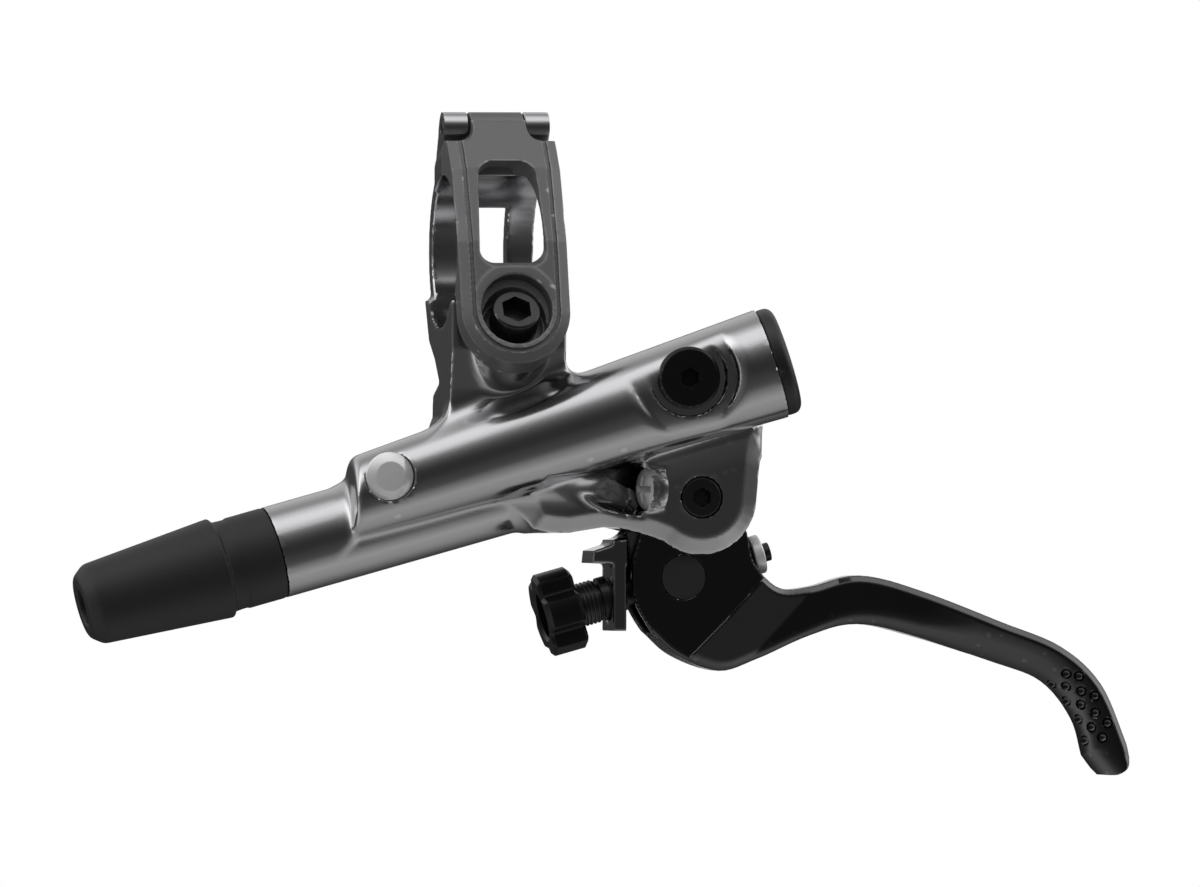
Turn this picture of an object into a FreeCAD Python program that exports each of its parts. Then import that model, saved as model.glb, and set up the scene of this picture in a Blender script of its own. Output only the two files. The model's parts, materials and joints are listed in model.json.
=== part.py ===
"""Hydraulic brake lever for a flat handlebar, as a parametric document.

Frame: the origin is the centre of the handlebar bore, +X runs along the bar, +Z is up and the
lever's outer side faces -Y. The master cylinder lies under the bar in the plane Y = 0, tilted
up towards +X. Lengths are in millimetres and angles in degrees.
"""
import FreeCAD, Part
import math
import os
import Sketcher
from FreeCAD import Vector, Placement, Rotation

doc = FreeCAD.newDocument("BrakeLever")
sheet = doc.addObject("Spreadsheet::Sheet", "Sizes")

SIZES = [
    # Handlebar clamp
    ("bar_radius", 11.1, "handlebar bore"),
    ("strap_outer", 14.0, "outer radius of the rear strap"),
    ("strap_half", 7.5, "half width of the rear strap along the bar"),
    ("strap_window_half", 3.5, "half width of the window in the strap"),
    ("strap_window_top", 6.4, "upper end of the strap's window"),
    ("strap_window_bottom", -4.0, "lower end of the strap's window"),
    ("saddle_half", 8.5, "half width of the saddle along the bar"),
    ("saddle_front", 9.6, "front plane of the saddle, in front of the bore centre"),
    ("parting_drop", 6.9, "joint between band and saddle, below the bore centre"),
    ("band_half", 8.0, "half width of the clamp band"),
    ("band_chamfer", 1.1, "chamfer along the band's face"),
    ("band_shoulder", 16.0, "shoulders of the band below the hinge knuckles"),
    ("band_corner", 2.6, "hollow corners between the shoulders and the tongue"),
    ("band_top_front", 1.2, "upper end of the band's face in front of the bore centre"),
    ("band_bend_front", 7.4, "bend of the band's face in front of the bore centre"),
    ("band_bend_rise", 12.2, "bend of the band's face above the bore centre"),
    ("pad_front", 15.3, "middle of the bolt pad in front of the bore centre"),
    ("pad_drop", 8.35, "middle of the bolt pad below the bore centre"),
    ("pad_lean", 16.0, "bolt pad leaning back from upright"),
    ("pad_thick", 4.6, "bolt pad behind its face"),
    ("pad_knee", 1.5, "upper end of the pad's plane above the bore centre"),
    ("recess_radius", 5.2, "round recess in the pad"),
    ("recess_depth", 2.6, "round recess in the pad"),
    ("band_window_half", 4.9, "half width of the band's window"),
    ("band_window_top", 13.9, "upper end of the band's window"),
    ("band_window_bottom", -1.9, "lower end of the band's window"),
    ("band_window_corner", 2.3, "corner radius of the band's window"),
    ("band_window_draft", 0.14, "narrowing of the band's window towards the bar, in each millimetre"),
    ("hinge_back", 2.0, "hinge centre behind the bore centre"),
    ("hinge_rise", 18.0, "hinge centre above the bore centre"),
    ("knuckle_radius", 2.2, "hinge knuckles"),
    ("knuckle_gap", 0.2, "side play between the knuckles"),
    ("hinge_half", 7.8, "half length of the hinge"),
    ("tongue_half", 3.9, "half width of the band's hinge tongue"),
    ("hinge_pin_radius", 1.1, "hinge pin"),
    ("bolt_tilt", 38.0, "clamp bolt axis above the horizontal"),
    ("bolt_radius", 2.5, "clamp bolt thread"),
    ("bolt_head_radius", 3.5, "clamp bolt head"),
    ("bolt_head_height", 3.6, "clamp bolt head"),
    ("bolt_reach", 10.2, "thread below the washer"),
    ("bolt_socket", 4.0, "hex socket across flats"),
    ("bolt_washer_radius", 4.3, "washer under the clamp bolt"),
    ("bolt_washer_thick", 0.6, "washer under the clamp bolt"),
    ("band_ear_radius", 6.2, "round ear of the band at the bolt"),
    ("band_ear_foot", -0.4, "back of the band's ear along the bolt"),
    ("band_gap", 0.4, "gap between band and saddle"),
    ("boss_depth", 9.0, "threaded boss below the band's ear"),
    # Master cylinder
    ("cylinder_drop", 34.4, "cylinder axis below the bore centre"),
    ("cylinder_tilt", 15.64, "cylinder axis above the bar's direction"),
    ("tube_radius", 6.75, "outside of the cylinder tube"),
    ("tube_start", -34.0, "hose end of the tube"),
    ("tube_end", 38.5, "lever end of the tube"),
    ("bore_radius", 4.5, "piston bore"),
    ("bore_start", -25.0, "closed end of the piston bore"),
    ("slot_start", 15.5, "where the bore opens into the lever slot"),
    ("slot_roof", 2.2, "roof of the lever slot above the cylinder axis"),
    ("slot_roof_end", 33.0, "where the raised roof of the slot ends"),
    ("slot_half", 4.8, "half width of the lever slot"),
    ("port_radius", 3.8, "hose port"),
    ("port_floor", -28.0, "floor of the hose port"),
    ("duct_radius", 1.2, "drilled oil ducts"),
    # Reservoir
    ("bulge_start", -26.0, "start of the reservoir's taper"),
    ("bulge_start_side", 4.6, "reservoir axis in front of the cylinder axis at the start"),
    ("bulge_start_offset", 4.95, "reservoir axis above the cylinder axis at the start"),
    ("bulge_start_radius", 5.1, "reservoir at the start of its taper"),
    ("bulge_end", 41.6, "seat of the end cap"),
    ("bulge_end_side", 11.6, "reservoir axis in front of the cylinder axis at its cap end"),
    ("bulge_end_offset", 7.2, "reservoir axis above the cylinder axis at its cap end"),
    ("bulge_end_radius", 8.15, "reservoir at its cap end"),
    ("bulge_wall", -22.6, "upright hose-end wall of the reservoir, along the bar"),
    ("bulge_round", 2.0, "rounding of the reservoir's hose end"),
    ("bulge_chamfer", 0.5, "chamfer at the reservoir's cap end"),
    ("cavity_radius", 4.4, "reservoir cavity"),
    ("cavity_depth", 28.0, "reservoir cavity"),
    ("mouth_radius", 6.4, "mouth of the cavity"),
    ("mouth_depth", 4.5, "mouth of the cavity"),
    ("cap_radius", 7.9, "end cap"),
    ("cap_height", 2.4, "end cap"),
    ("cap_round", 0.8, "rounded edge of the end cap"),
    ("skin_thick", 0.7, "rubber diaphragm"),
    ("skin_length", 20.0, "rubber diaphragm"),
    ("plug_at", -16.6, "passage plug along the cylinder"),
    ("plug_offset", 6.6, "passage plug above the cylinder axis"),
    ("plug_radius", 3.5, "passage plug"),
    ("plug_flat", 2.1, "flat centre and stub of the passage plug"),
    ("plug_height", 1.1, "passage plug"),
    ("plug_stub", 2.6, "stub of the passage plug"),
    ("plug_face", 11.3, "face of the passage plug in front of the cylinder axis"),
    ("bleed_at", 28.5, "bleed screw along the cylinder"),
    ("bleed_offset", 8.75, "bleed screw above the cylinder axis"),
    ("bleed_head", 4.5, "radius of the bleed screw's head"),
    ("bleed_head_height", 1.4, "bleed screw head"),
    ("bleed_thread", 2.5, "bleed screw thread"),
    ("bleed_length", 1.8, "bleed screw thread"),
    ("bleed_socket", 2.5, "hex socket across flats"),
    ("bleed_seat", 16.1, "spot face in front of the cylinder axis"),
    ("spot_radius", 5.5, "spot face of the bleed screw"),
    ("ring_thick", 0.9, "o-ring cord"),
    # Lever pivot
    ("pivot_x", 28.9, "pivot axle along the bar"),
    ("pivot_drop", 35.6, "pivot axle below the bore centre"),
    ("ear_radius", 8.3, "round of the ears about the pivot"),
    ("ear_half", 7.0, "half width over the ears"),
    ("ear_bevel", 0.9, "bevel of the ears"),
    ("axle_radius", 2.2, "pivot axle"),
    ("axle_head_radius", 2.95, "head of the pivot axle"),
    ("axle_head_height", 1.3, "head of the pivot axle"),
    ("axle_socket", 2.5, "hex socket across flats"),
    ("axle_tail", 1.7, "axle past the far ear"),
    ("clip_radius", 3.9, "retaining clip"),
    ("clip_thick", 0.5, "retaining clip"),
    ("clip_groove", 0.5, "depth of the clip groove"),
    # Piston train
    ("piston_start", -8.0, "nose of the piston"),
    ("piston_end", 13.2, "tail of the piston"),
    ("piston_neck", 3.1, "piston between its lands"),
    ("seal_width", 2.4, "cup seals"),
    ("front_seal_at", -7.2, "primary cup seal"),
    ("rear_seal_at", 8.2, "secondary cup seal"),
    ("clip_seat", 13.5, "stop clip of the piston"),
    ("spring_wire", 0.7, "piston spring wire"),
    ("spring_radius", 3.2, "piston spring"),
    ("spring_turns", 7, "piston spring"),
    ("rod_radius", 1.7, "push rod"),
    ("rod_seat", 9.5, "where the push rod seats in the piston"),
    ("rod_end", 26.65, "face of the push rod towards the lever"),
    ("stroke_screw_x", 20.2, "free-stroke screw along the bar"),
    ("stroke_screw_drop", 34.4, "free-stroke screw below the bore centre"),
    ("stroke_screw_side", 6.0, "free-stroke screw in front of the cylinder axis"),
    ("stroke_screw_turn", 20.0, "free-stroke screw towards the rider's view"),
    ("stroke_screw_radius", 3.1, "free-stroke screw"),
    ("stroke_screw_height", 1.7, "free-stroke screw head"),
    ("cross_reach", 1.7, "cross recess of the free-stroke screw, from its centre"),
    ("cross_width", 0.8, "cross recess of the free-stroke screw"),
    ("stroke_screw_stub", 1.6, "free-stroke screw thread radius"),
    ("stroke_screw_length", 0.6, "free-stroke screw thread"),
    # Lever
    ("nose_radius", 2.0, "nose of the link on the push rod"),
    ("nose_lead", 9.0, "angle of the nose past the pivot at rest"),
    ("link_half", 2.5, "half width of the link's web"),
    ("link_hub", 6.0, "hub of the link"),
    ("bush_wall", 0.7, "pivot bush"),
    ("wall_half", 4.5, "half width of the link's cradle wall"),
    ("barrel_x", 26.7, "adjuster barrel along the bar"),
    ("barrel_drop", 47.2, "adjuster barrel below the bore centre"),
    ("barrel_radius", 3.2, "adjuster barrel"),
    ("barrel_play", 0.35, "play of the barrel in the cheeks"),
    ("barrel_room", 0.8, "room round the barrel in the link"),
    ("screw_room", 0.5, "room round the reach screw and its disc in the link"),
    ("cheek_half", 4.5, "half width over the blade's cheeks"),
    ("cheek_gap", 3.0, "half gap between the cheeks"),
    ("blade_half", 5.2, "half width of the blade"),
    ("blade_round", 1.4, "rounding of the blade"),
    ("blade_reach", 66.2, "blade from the barrel to its tip, along the bar"),
    ("fork_room", 2.2, "room below the stop disc in the blade's fork"),
    ("dimple_radius", 0.7, "grip dimples near the blade's tip"),
    ("dimple_depth", 0.35, "grip dimples near the blade's tip"),
    ("dimple_pitch", 3.1, "grip dimples along the blade"),
    ("dimple_rows", 5, "rows of grip dimples along the blade"),
    # Reach adjuster, along its own axis from the barrel
    ("screw_radius", 2.0, "reach screw"),
    ("shaft_radius", 3.0, "shaft of the knob"),
    ("knob_start", -21.0, "outer face of the knob"),
    ("knob_length", 5.4, "knob"),
    ("knob_radius", 6.1, "knob over its lobes"),
    ("knob_core", 4.7, "knob between its lobes"),
    ("knob_lobes", 5, "lobes of the knob"),
    ("knob_dish", 3.4, "dish in the knob's face"),
    ("bush_at", -9.4, "swivel bush in the cradle wall"),
    ("bush_length", 2.0, "swivel bush"),
    ("bush_radius", 2.7, "swivel bush"),
    ("disc_at", 11.3, "stop disc on the reach screw"),
    ("disc_radius", 2.85, "stop disc"),
    ("disc_thick", 1.5, "stop disc"),
    ("stub_length", 1.2, "end of the screw past the stop disc"),
    ("stub_radius", 1.35, "end of the screw past the stop disc"),
    # Hose end
    ("boot_length", 29.4, "rubber boot"),
    ("boot_tip_radius", 4.55, "boot at its tip"),
    ("boot_shoulder_radius", 5.95, "boot behind the tip chamfer"),
    ("boot_shoulder", 1.8, "tip chamfer of the boot"),
    ("boot_radius", 7.4, "boot at its widest"),
    ("boot_wide_at", 21.1, "widest place of the boot from its tip"),
    ("boot_groove", 23.7, "end of the boot's groove from its tip"),
    ("boot_collar_radius", 6.75, "collar of the boot"),
    ("hose_radius", 2.5, "hose that the port takes"),
    ("nut_radius", 4.4, "connecting bolt's head"),
    ("nut_length", 9.0, "connecting bolt's head"),
    ("olive_length", 2.6, "crimped olive"),
    ("olive_radius", 3.3, "crimped olive"),
    # Clearances
    ("fit", 0.1, "radial play of parts that are pushed together"),
    ("running_fit", 0.05, "radial play of turning and sliding parts"),
    ("rest_gap", 0.2, "play between parts that rest against each other"),
]


def fill_sheet():
    """Write every size with its name and meaning."""
    for row, (name, value, meaning) in enumerate(SIZES, start=1):
        sheet.set(f"A{row}", name)
        sheet.set(f"B{row}", str(value))
        sheet.setAlias(f"B{row}", name)
        sheet.set(f"C{row}", meaning)
    doc.recompute()


def val(name):
    """Value of one named size."""
    return float(getattr(sheet, name))


fill_sheet()

# Directions that several pieces share
TILT = math.radians(val("cylinder_tilt"))
ALONG = Vector(math.cos(TILT), 0, math.sin(TILT))
ABOVE = Vector(-math.sin(TILT), 0, math.cos(TILT))
FRONT = Vector(0, -1, 0)
AXIS_START = Vector(0, 0, -val("cylinder_drop"))
PIVOT = Vector(val("pivot_x"), 0, -val("pivot_drop"))
BARREL = Vector(val("barrel_x"), 0, -val("barrel_drop"))
BOLT_TILT = math.radians(val("bolt_tilt"))
BOLT_AXIS = Vector(0, -math.cos(BOLT_TILT), math.sin(BOLT_TILT))
PAD_LEAN = math.radians(val("pad_lean"))
PAD_OUT = Vector(0, -math.cos(PAD_LEAN), math.sin(PAD_LEAN))
PAD_UP = Vector(0, math.sin(PAD_LEAN), math.cos(PAD_LEAN))
PAD_CENTRE = Vector(0, -val("pad_front"), -val("pad_drop"))
BOLT_FOOT = PAD_CENTRE - BOLT_AXIS * PAD_CENTRE.dot(BOLT_AXIS)
BOLT_SEAT = PAD_CENTRE.dot(BOLT_AXIS) - val("bolt_head_height") - val("bolt_washer_thick")


def on_cylinder(along, above=0.0, front=0.0):
    """Point given along the cylinder axis, above it and in front of it."""
    return AXIS_START + ALONG * along + ABOVE * above + FRONT * front


def on_screw(along, above=0.0):
    """Point on the reach screw's axis, measured from the barrel, or above it."""
    return BARREL + ALONG * along + ABOVE * above


RESERVOIR_START = on_cylinder(val("bulge_start"), val("bulge_start_offset"), val("bulge_start_side"))
RESERVOIR_END = on_cylinder(val("bulge_end"), val("bulge_end_offset"), val("bulge_end_side"))
RESERVOIR_LENGTH = (RESERVOIR_END - RESERVOIR_START).Length
RESERVOIR_AXIS = (RESERVOIR_END - RESERVOIR_START) / RESERVOIR_LENGTH


def in_reservoir(depth):
    """Point on the reservoir's axis, measured inwards from the seat of its cap."""
    return RESERVOIR_END - RESERVOIR_AXIS * depth


def facing(point, direction):
    """Placement whose local X axis runs along a direction."""
    return Placement(point, Rotation(Vector(1, 0, 0), direction))


def plane_of(body, role):
    """One of a body's own origin planes."""
    for feature in body.Origin.OriginFeatures:
        if feature.Role == role:
            return feature
    raise RuntimeError(role)


def outline(body, name, role, points, offset=None):
    """Closed sketch whose corners are tied to expressions of the sheet."""
    sketch = body.newObject("Sketcher::SketchObject", name)
    sketch.AttachmentSupport = (plane_of(body, role), [""])
    sketch.MapMode = "FlatFace"
    if offset is not None:
        sketch.AttachmentOffset = Placement(Vector(0, 0, offset), Rotation())
    values = [(value_of(across), value_of(up)) for across, up in points]
    count = len(points)
    for index, (across, up) in enumerate(values):
        after = values[(index + 1) % count]
        start = Vector(across, up, 0)
        sketch.addGeometry(Part.LineSegment(start, Vector(after[0], after[1], 0)), False)
    for index in range(count):
        following = (index + 1) % count
        sketch.addConstraint(Sketcher.Constraint("Coincident", index, 2, following, 1))
    for index, (across, up) in enumerate(points):
        tie(sketch, "DistanceX", index, across, -2)
        tie(sketch, "DistanceY", index, up, -1)
    return sketch


def tie(sketch, kind, index, expression, axis):
    """Hold the start of a line at a signed distance from the sketch's origin."""
    if expression == "0":
        sketch.addConstraint(Sketcher.Constraint("PointOnObject", index, 1, axis))
        return
    number = sketch.addConstraint(Sketcher.Constraint(kind, -1, 1, index, 1, value_of(expression)))
    sketch.setExpression(f"Constraints[{number}]", in_sheet(expression))


def words_of(expression):
    """The expression split into names, numbers and signs."""
    for sign in "()+-*/,":
        expression = expression.replace(sign, f" {sign} ")
    return expression.split()


def in_sheet(expression):
    """The expression with every size name led back to the sheet."""
    names = {row[0] for row in SIZES}
    return " ".join(f"Sizes.{word}" if word in names else word for word in words_of(expression))


def value_of(expression):
    """The expression worked out with the sheet's present values."""
    total = 0.0
    sign = 1.0
    term = None
    operator = None
    for word in words_of(expression) + ["+"]:
        if word in "+-":
            if term is not None:
                total += sign * term
            sign = -1.0 if word == "-" else 1.0
            term = None
        elif word in "*/":
            operator = word
        else:
            number = float(word) if word[0].isdigit() else val(word)
            if term is None:
                term = number
            elif operator == "*":
                term *= number
            else:
                term /= number
    return total


def new_body(label, placement):
    """An empty body with its label and place."""
    body = doc.addObject("PartDesign::Body", label)
    body.Label = label
    body.Placement = placement
    return body


def turned(label, placement, profile):
    """Body turned about its local X axis from (along, radius) corners."""
    body = new_body(label, placement)
    sketch = outline(body, label + "_profile", "XZ_Plane", profile)
    turn = body.newObject("PartDesign::Revolution", label + "_turn")
    turn.Profile = sketch
    turn.ReferenceAxis = (sketch, ["H_Axis"])
    turn.Angle = 360
    doc.recompute()
    return body


def cut_across(body, name, points, offset, depth):
    """Pocket that starts at a local X and runs towards +X."""
    before = body.Shape.Volume
    sketch = outline(body, name + "_sketch", "YZ_Plane", points, value_of(offset))
    sketch.setExpression("AttachmentOffset.Base.z", in_sheet(offset))
    pocket = body.newObject("PartDesign::Pocket", name)
    pocket.Profile = sketch
    pocket.Type = "Length"
    pocket.Length = value_of(depth)
    pocket.setExpression("Length", in_sheet(depth))
    pocket.Reversed = True
    doc.recompute()
    if body.Shape.Volume > before - 1e-6:
        raise RuntimeError(f"{name} cuts nothing")
    return pocket


def hexagon(across_flats):
    """Corners of a hexagon, as expressions."""
    side = f"{across_flats}/1.7320508"
    half = f"{across_flats}/2"
    low = f"{across_flats}/3.4641016"
    return [("0", side), ("-" + half, low), ("-" + half, "-" + low),
            ("0", "-" + side), (half, "-" + low), (half, low)]


def hex_socket(body, across_flats, offset, depth):
    """Hex socket cut into the face at a local X."""
    cut_across(body, body.Label + "_socket", hexagon(across_flats), offset, depth)


def solid(label, shape):
    """A piece whose shape is worked out below from the named sizes."""
    feature = doc.addObject("Part::Feature", label)
    feature.Label = label
    merged = shape.copy().removeSplitter()
    feature.Shape = merged if merged.isValid() else shape
    return feature


def prism(points, direction, length):
    """Straight solid over a closed polygon."""
    wire = Part.makePolygon(points + [points[0]])
    return Part.Face(wire).extrude(direction * length)


def slab_xz(points, low, high):
    """Slab between two Y planes over an (X, Z) polygon."""
    corners = [Vector(across, low, up) for across, up in points]
    return prism(corners, Vector(0, 1, 0), high - low)


def slab_yz(points, half):
    """Slab centred on X = 0 over a (Y, Z) polygon."""
    corners = [Vector(-half, across, up) for across, up in points]
    return prism(corners, Vector(1, 0, 0), 2 * half)


def rod(radius, start, direction, length):
    """Round bar."""
    return Part.makeCylinder(radius, length, start, direction)


def box(low, high):
    """Box between two corners."""
    size = high - low
    return Part.makeBox(size.x, size.y, size.z, low)


# The casting, in pieces
def reservoir_outside():
    """Tapered reservoir with an upright, rounded wall at its hose end."""
    cone = Part.makeCone(val("bulge_start_radius"), val("bulge_end_radius"), RESERVOIR_LENGTH,
                         RESERVOIR_START, RESERVOIR_AXIS)
    seat = [edge for edge in cone.Edges
            if abs(edge.Length - 2 * math.pi * val("bulge_end_radius")) < 1e-3]
    cone = cone.makeChamfer(val("bulge_chamfer"), seat)
    far = 200
    kept = box(Vector(val("bulge_wall"), -far, -far), Vector(far, far, far))
    shape = cone.common(kept)
    wall = [edge for edge in shape.Edges
            if abs(edge.BoundBox.XMax - val("bulge_wall")) < 1e-3
            and edge.BoundBox.XLength < 1e-3]
    return shape.makeFillet(val("bulge_round"), wall)


def ear_outline():
    """Outline of the clevis: an arc about the pivot and a shallow wave under the tube."""
    radius = val("ear_radius")

    def around(degrees):
        turn = math.radians(degrees)
        return PIVOT + Vector(math.cos(turn), 0, math.sin(turn)) * radius

    underside = on_cylinder(2.6, -val("tube_radius"))
    wave = [around(-130), PIVOT + Vector(-radius * 1.14, 0, -radius * 0.61),
            PIVOT + Vector(-radius * 1.72, 0, -radius * 0.52),
            PIVOT + Vector(-radius * 2.35, 0, -radius * 0.62), underside]
    curve = Part.BSplineCurve()
    curve.interpolate(wave)
    roof_left = on_cylinder(1.0, 0)
    roof_right = on_cylinder(val("tube_end"), 0)
    right = around(0)
    shoulder = right + Vector(0, 0, 0.85 * radius)
    edges = [Part.Arc(right, around(-65), around(-130)).toShape(), curve.toShape(),
             Part.makeLine(underside, roof_left), Part.makeLine(roof_left, roof_right),
             Part.makeLine(roof_right, shoulder), Part.makeLine(shoulder, right)]
    return Part.Face(Part.Wire(edges))


def clevis():
    """Solid clevis block with bevelled sides, before its slot is cut."""
    half = val("ear_half")
    face = ear_outline()
    face.translate(Vector(0, -half, 0))
    block = face.extrude(Vector(0, 2 * half, 0))
    rims = [edge for edge in block.Edges
            if abs(abs(edge.BoundBox.YMin) - half) < 1e-3 and edge.BoundBox.YLength < 1e-3
            and edge.BoundBox.ZMax < PIVOT.z + 0.9 * val("ear_radius")]
    return block.makeChamfer(val("ear_bevel"), rims)


def saddle():
    """Saddle under the bar: the overlap of its front outline and its side outline."""
    half = val("saddle_half")
    drop = val("parting_drop")
    depth = val("cylinder_drop")
    front = [(-half, -drop), (half, -drop), (half, -0.62 * depth), (1.2 * half, -0.74 * depth),
             (1.7 * half, -0.85 * depth), (1.7 * half, -depth), (-1.75 * half, -depth),
             (-1.75 * half, -0.97 * depth), (-1.2 * half, -0.84 * depth), (-half, -0.7 * depth)]
    face = val("saddle_front")
    bar = val("bar_radius")
    side = [(-face, -drop), (-face, -1.25 * bar), (-0.85 * face, -1.8 * bar),
            (-0.7 * face, -depth), (6.4, -depth), (6.4, -2.3 * bar), (5.5, -1.86 * bar),
            (1.0, -1.7 * bar), (4.1, -1.44 * bar), (8.6, -1.2 * bar), (11.9, -0.62 * bar),
            (0.5 * bar, -drop)]
    return slab_xz(front, -2 * bar, 2 * bar).common(slab_yz(side, 3 * half))


def strap():
    """Rear strap round the bar, with its two hinge lugs and its window."""
    half = val("strap_half")
    outer = val("strap_outer")
    ring = rod(outer, Vector(-half, 0, 0), Vector(1, 0, 0), 2 * half)
    back = box(Vector(-half, val("band_gap") + 0.9, -outer), Vector(half, outer, outer))
    lower = box(Vector(-half, 0, -outer), Vector(half, val("band_gap") + 0.9, -val("parting_drop")))
    shape = ring.common(back.fuse(lower))
    window = box(Vector(-val("strap_window_half"), 0, val("strap_window_bottom")),
                 Vector(val("strap_window_half"), 2 * outer, val("strap_window_top")))
    shape = shape.cut(window)
    inner = val("tongue_half") + val("knuckle_gap")
    width = val("hinge_half") - inner
    for start in (-val("hinge_half"), inner):
        shape = shape.fuse(lug(start, width))
    return shape


def hinge_centre(along):
    """Centre of the hinge at a place along the bar."""
    return Vector(along, val("hinge_back"), val("hinge_rise"))


def lug(start, width):
    """Hinge lug of the strap between two planes across the bar."""
    back = val("hinge_back")
    radius = val("knuckle_radius")
    rise = val("hinge_rise")
    points = [(back - 0.3 * radius, 0.8 * val("bar_radius")),
              (back + 2.2 * radius, 0.8 * val("bar_radius")),
              (back + 2.2 * radius, 0.7 * rise), (back + radius, rise), (back - 0.3 * radius, rise)]
    corners = [Vector(start, across, up) for across, up in points]
    return prism(corners, Vector(1, 0, 0), width).fuse(
        rod(radius, hinge_centre(start), Vector(1, 0, 0), width))


def bolt_point(along):
    """Point on the clamp bolt's axis."""
    return BOLT_FOOT + BOLT_AXIS * along


def lever_slot():
    """Room for the link and the cheeks between the ears."""
    half = val("slot_half")
    start = val("slot_start")
    roof = val("slot_roof")
    points = [on_cylinder(start, roof), on_cylinder(val("slot_roof_end"), roof),
              on_cylinder(val("slot_roof_end") + 3.0, -1.3),
              on_cylinder(val("tube_end") + 9.0, -1.3), on_cylinder(val("tube_end") + 9.0, -30),
              BARREL + Vector(-11.8, 0, -13.4), BARREL + Vector(-11.8, 0, 4.0),
              BARREL + Vector(-7.4, 0, 8.8), BARREL + Vector(-5.7, 0, 12.0),
              on_cylinder(start, -2.6)]
    corners = [point + Vector(0, -half, 0) for point in points]
    return prism(corners, Vector(0, 1, 0), 2 * half)


def stroke_direction():
    """Outward direction of the free-stroke screw."""
    turn = math.radians(val("stroke_screw_turn"))
    return Vector(-math.cos(turn), -math.sin(turn), 0)


def stroke_point():
    """Centre of the free-stroke screw's face."""
    return Vector(val("stroke_screw_x"), -val("stroke_screw_side"), -val("stroke_screw_drop"))


def make_casting():
    """Cylinder body: tube, reservoir, clevis, saddle and strap, cast as one and then machined."""
    tube = rod(val("tube_radius"), on_cylinder(val("tube_start")), ALONG,
               val("tube_end") - val("tube_start"))
    cup_radius = val("stroke_screw_radius") + 1.2
    cup = rod(cup_radius, stroke_point() - stroke_direction() * 3.4, stroke_direction(), 3.6)
    boss = rod(val("bolt_radius") + 2.9, bolt_point(-val("boss_depth")), BOLT_AXIS,
               val("boss_depth") + val("band_ear_foot") - val("band_gap"))
    shape = tube.multiFuse([reservoir_outside(), clevis(), saddle(), strap(), boss, cup])
    bar = rod(val("bar_radius"), Vector(-60, 0, 0), Vector(1, 0, 0), 120)
    ear_room = rod(val("band_ear_radius") + val("band_gap"),
                   bolt_point(val("band_ear_foot") - val("band_gap")), BOLT_AXIS, 20)
    thread = rod(val("bolt_radius") + val("running_fit"), bolt_point(-val("boss_depth") - 8),
                 BOLT_AXIS, 30)
    pin = rod(val("hinge_pin_radius") + val("running_fit"), hinge_centre(-20), Vector(1, 0, 0), 40)
    cuts = [bar, ear_room, thread, pin, lever_slot()]
    cuts += cylinder_bores() + reservoir_bores() + pivot_bores()
    outward = stroke_direction()
    cuts.append(rod(val("stroke_screw_radius") + val("fit"),
                    stroke_point() - outward * val("stroke_screw_height"), outward, 3))
    cuts.append(rod(val("stroke_screw_stub") + val("running_fit"),
                    stroke_point() - outward * 9, outward, 9))
    cuts.append(Part.makeCone(val("stroke_screw_radius") + val("fit"), 1.8, 17,
                              stroke_point() + outward * 1.0, outward))
    for cutter in cuts:
        shape = shape.cut(cutter)
    return solid("master_cylinder_body", shape)


def cylinder_bores():
    """Piston bore, clip groove, hose port and the duct between them."""
    start = val("bore_start")
    port = val("port_floor")
    bore = rod(val("bore_radius"), on_cylinder(start), ALONG, val("slot_start") + 1 - start)
    seat = val("clip_seat")
    groove = rod(val("bore_radius") + 0.6, on_cylinder(seat), ALONG, val("clip_thick") + 0.1)
    hose = rod(val("port_radius"), on_cylinder(val("tube_start") - 1), ALONG,
               port - val("tube_start") + 1)
    duct = rod(val("duct_radius"), on_cylinder(port - 1), ALONG, start - port + 2)
    return [bore, groove, hose, duct]


def reservoir_bores():
    """Cavity with its mouth, long duct, feed port, plug hole and bleed hole."""
    depth = val("cavity_depth")
    cavity = rod(val("cavity_radius"), in_reservoir(-1), -RESERVOIR_AXIS, depth + 1)
    mouth = rod(val("mouth_radius"), in_reservoir(-1), -RESERVOIR_AXIS, val("mouth_depth") + 1)
    plug = val("plug_at")
    above = val("plug_offset")
    reach = RESERVOIR_LENGTH - (plug - val("bulge_start"))
    duct = rod(val("duct_radius"), in_reservoir(reach), RESERVOIR_AXIS, reach - depth + 1)
    face = val("plug_face")
    seat = rod(val("plug_radius") + val("fit"), on_cylinder(plug, above, face - val("plug_height")),
               FRONT, 6)
    hole = rod(val("plug_flat") + val("running_fit"),
               on_cylinder(plug, above, face - val("plug_height") - val("plug_stub") - 1), FRONT, 12)
    feed_start = in_reservoir(reach - 5)
    to_bore = AXIS_START - feed_start
    to_bore -= ALONG * to_bore.dot(ALONG)
    feed = rod(val("duct_radius") / 2, feed_start, to_bore / to_bore.Length,
               to_bore.Length - 0.5 * val("bore_radius"))
    bleed = val("bleed_at")
    rise = val("bleed_offset")
    thread = rod(val("bleed_thread") + val("running_fit"),
                 on_cylinder(bleed, rise, val("bleed_seat") - val("bleed_length") - 1), FRONT, 12)
    spot = rod(val("spot_radius"), on_cylinder(bleed, rise, val("bleed_seat")), FRONT, 8)
    ring_room = rod(val("bleed_thread") + val("ring_thick") + 2 * val("fit"),
                    on_cylinder(bleed, rise, val("bleed_seat") - val("ring_thick") - val("fit")),
                    FRONT, 8)
    return [cavity, mouth, duct, seat, hole, feed, thread, spot, ring_room]


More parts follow.
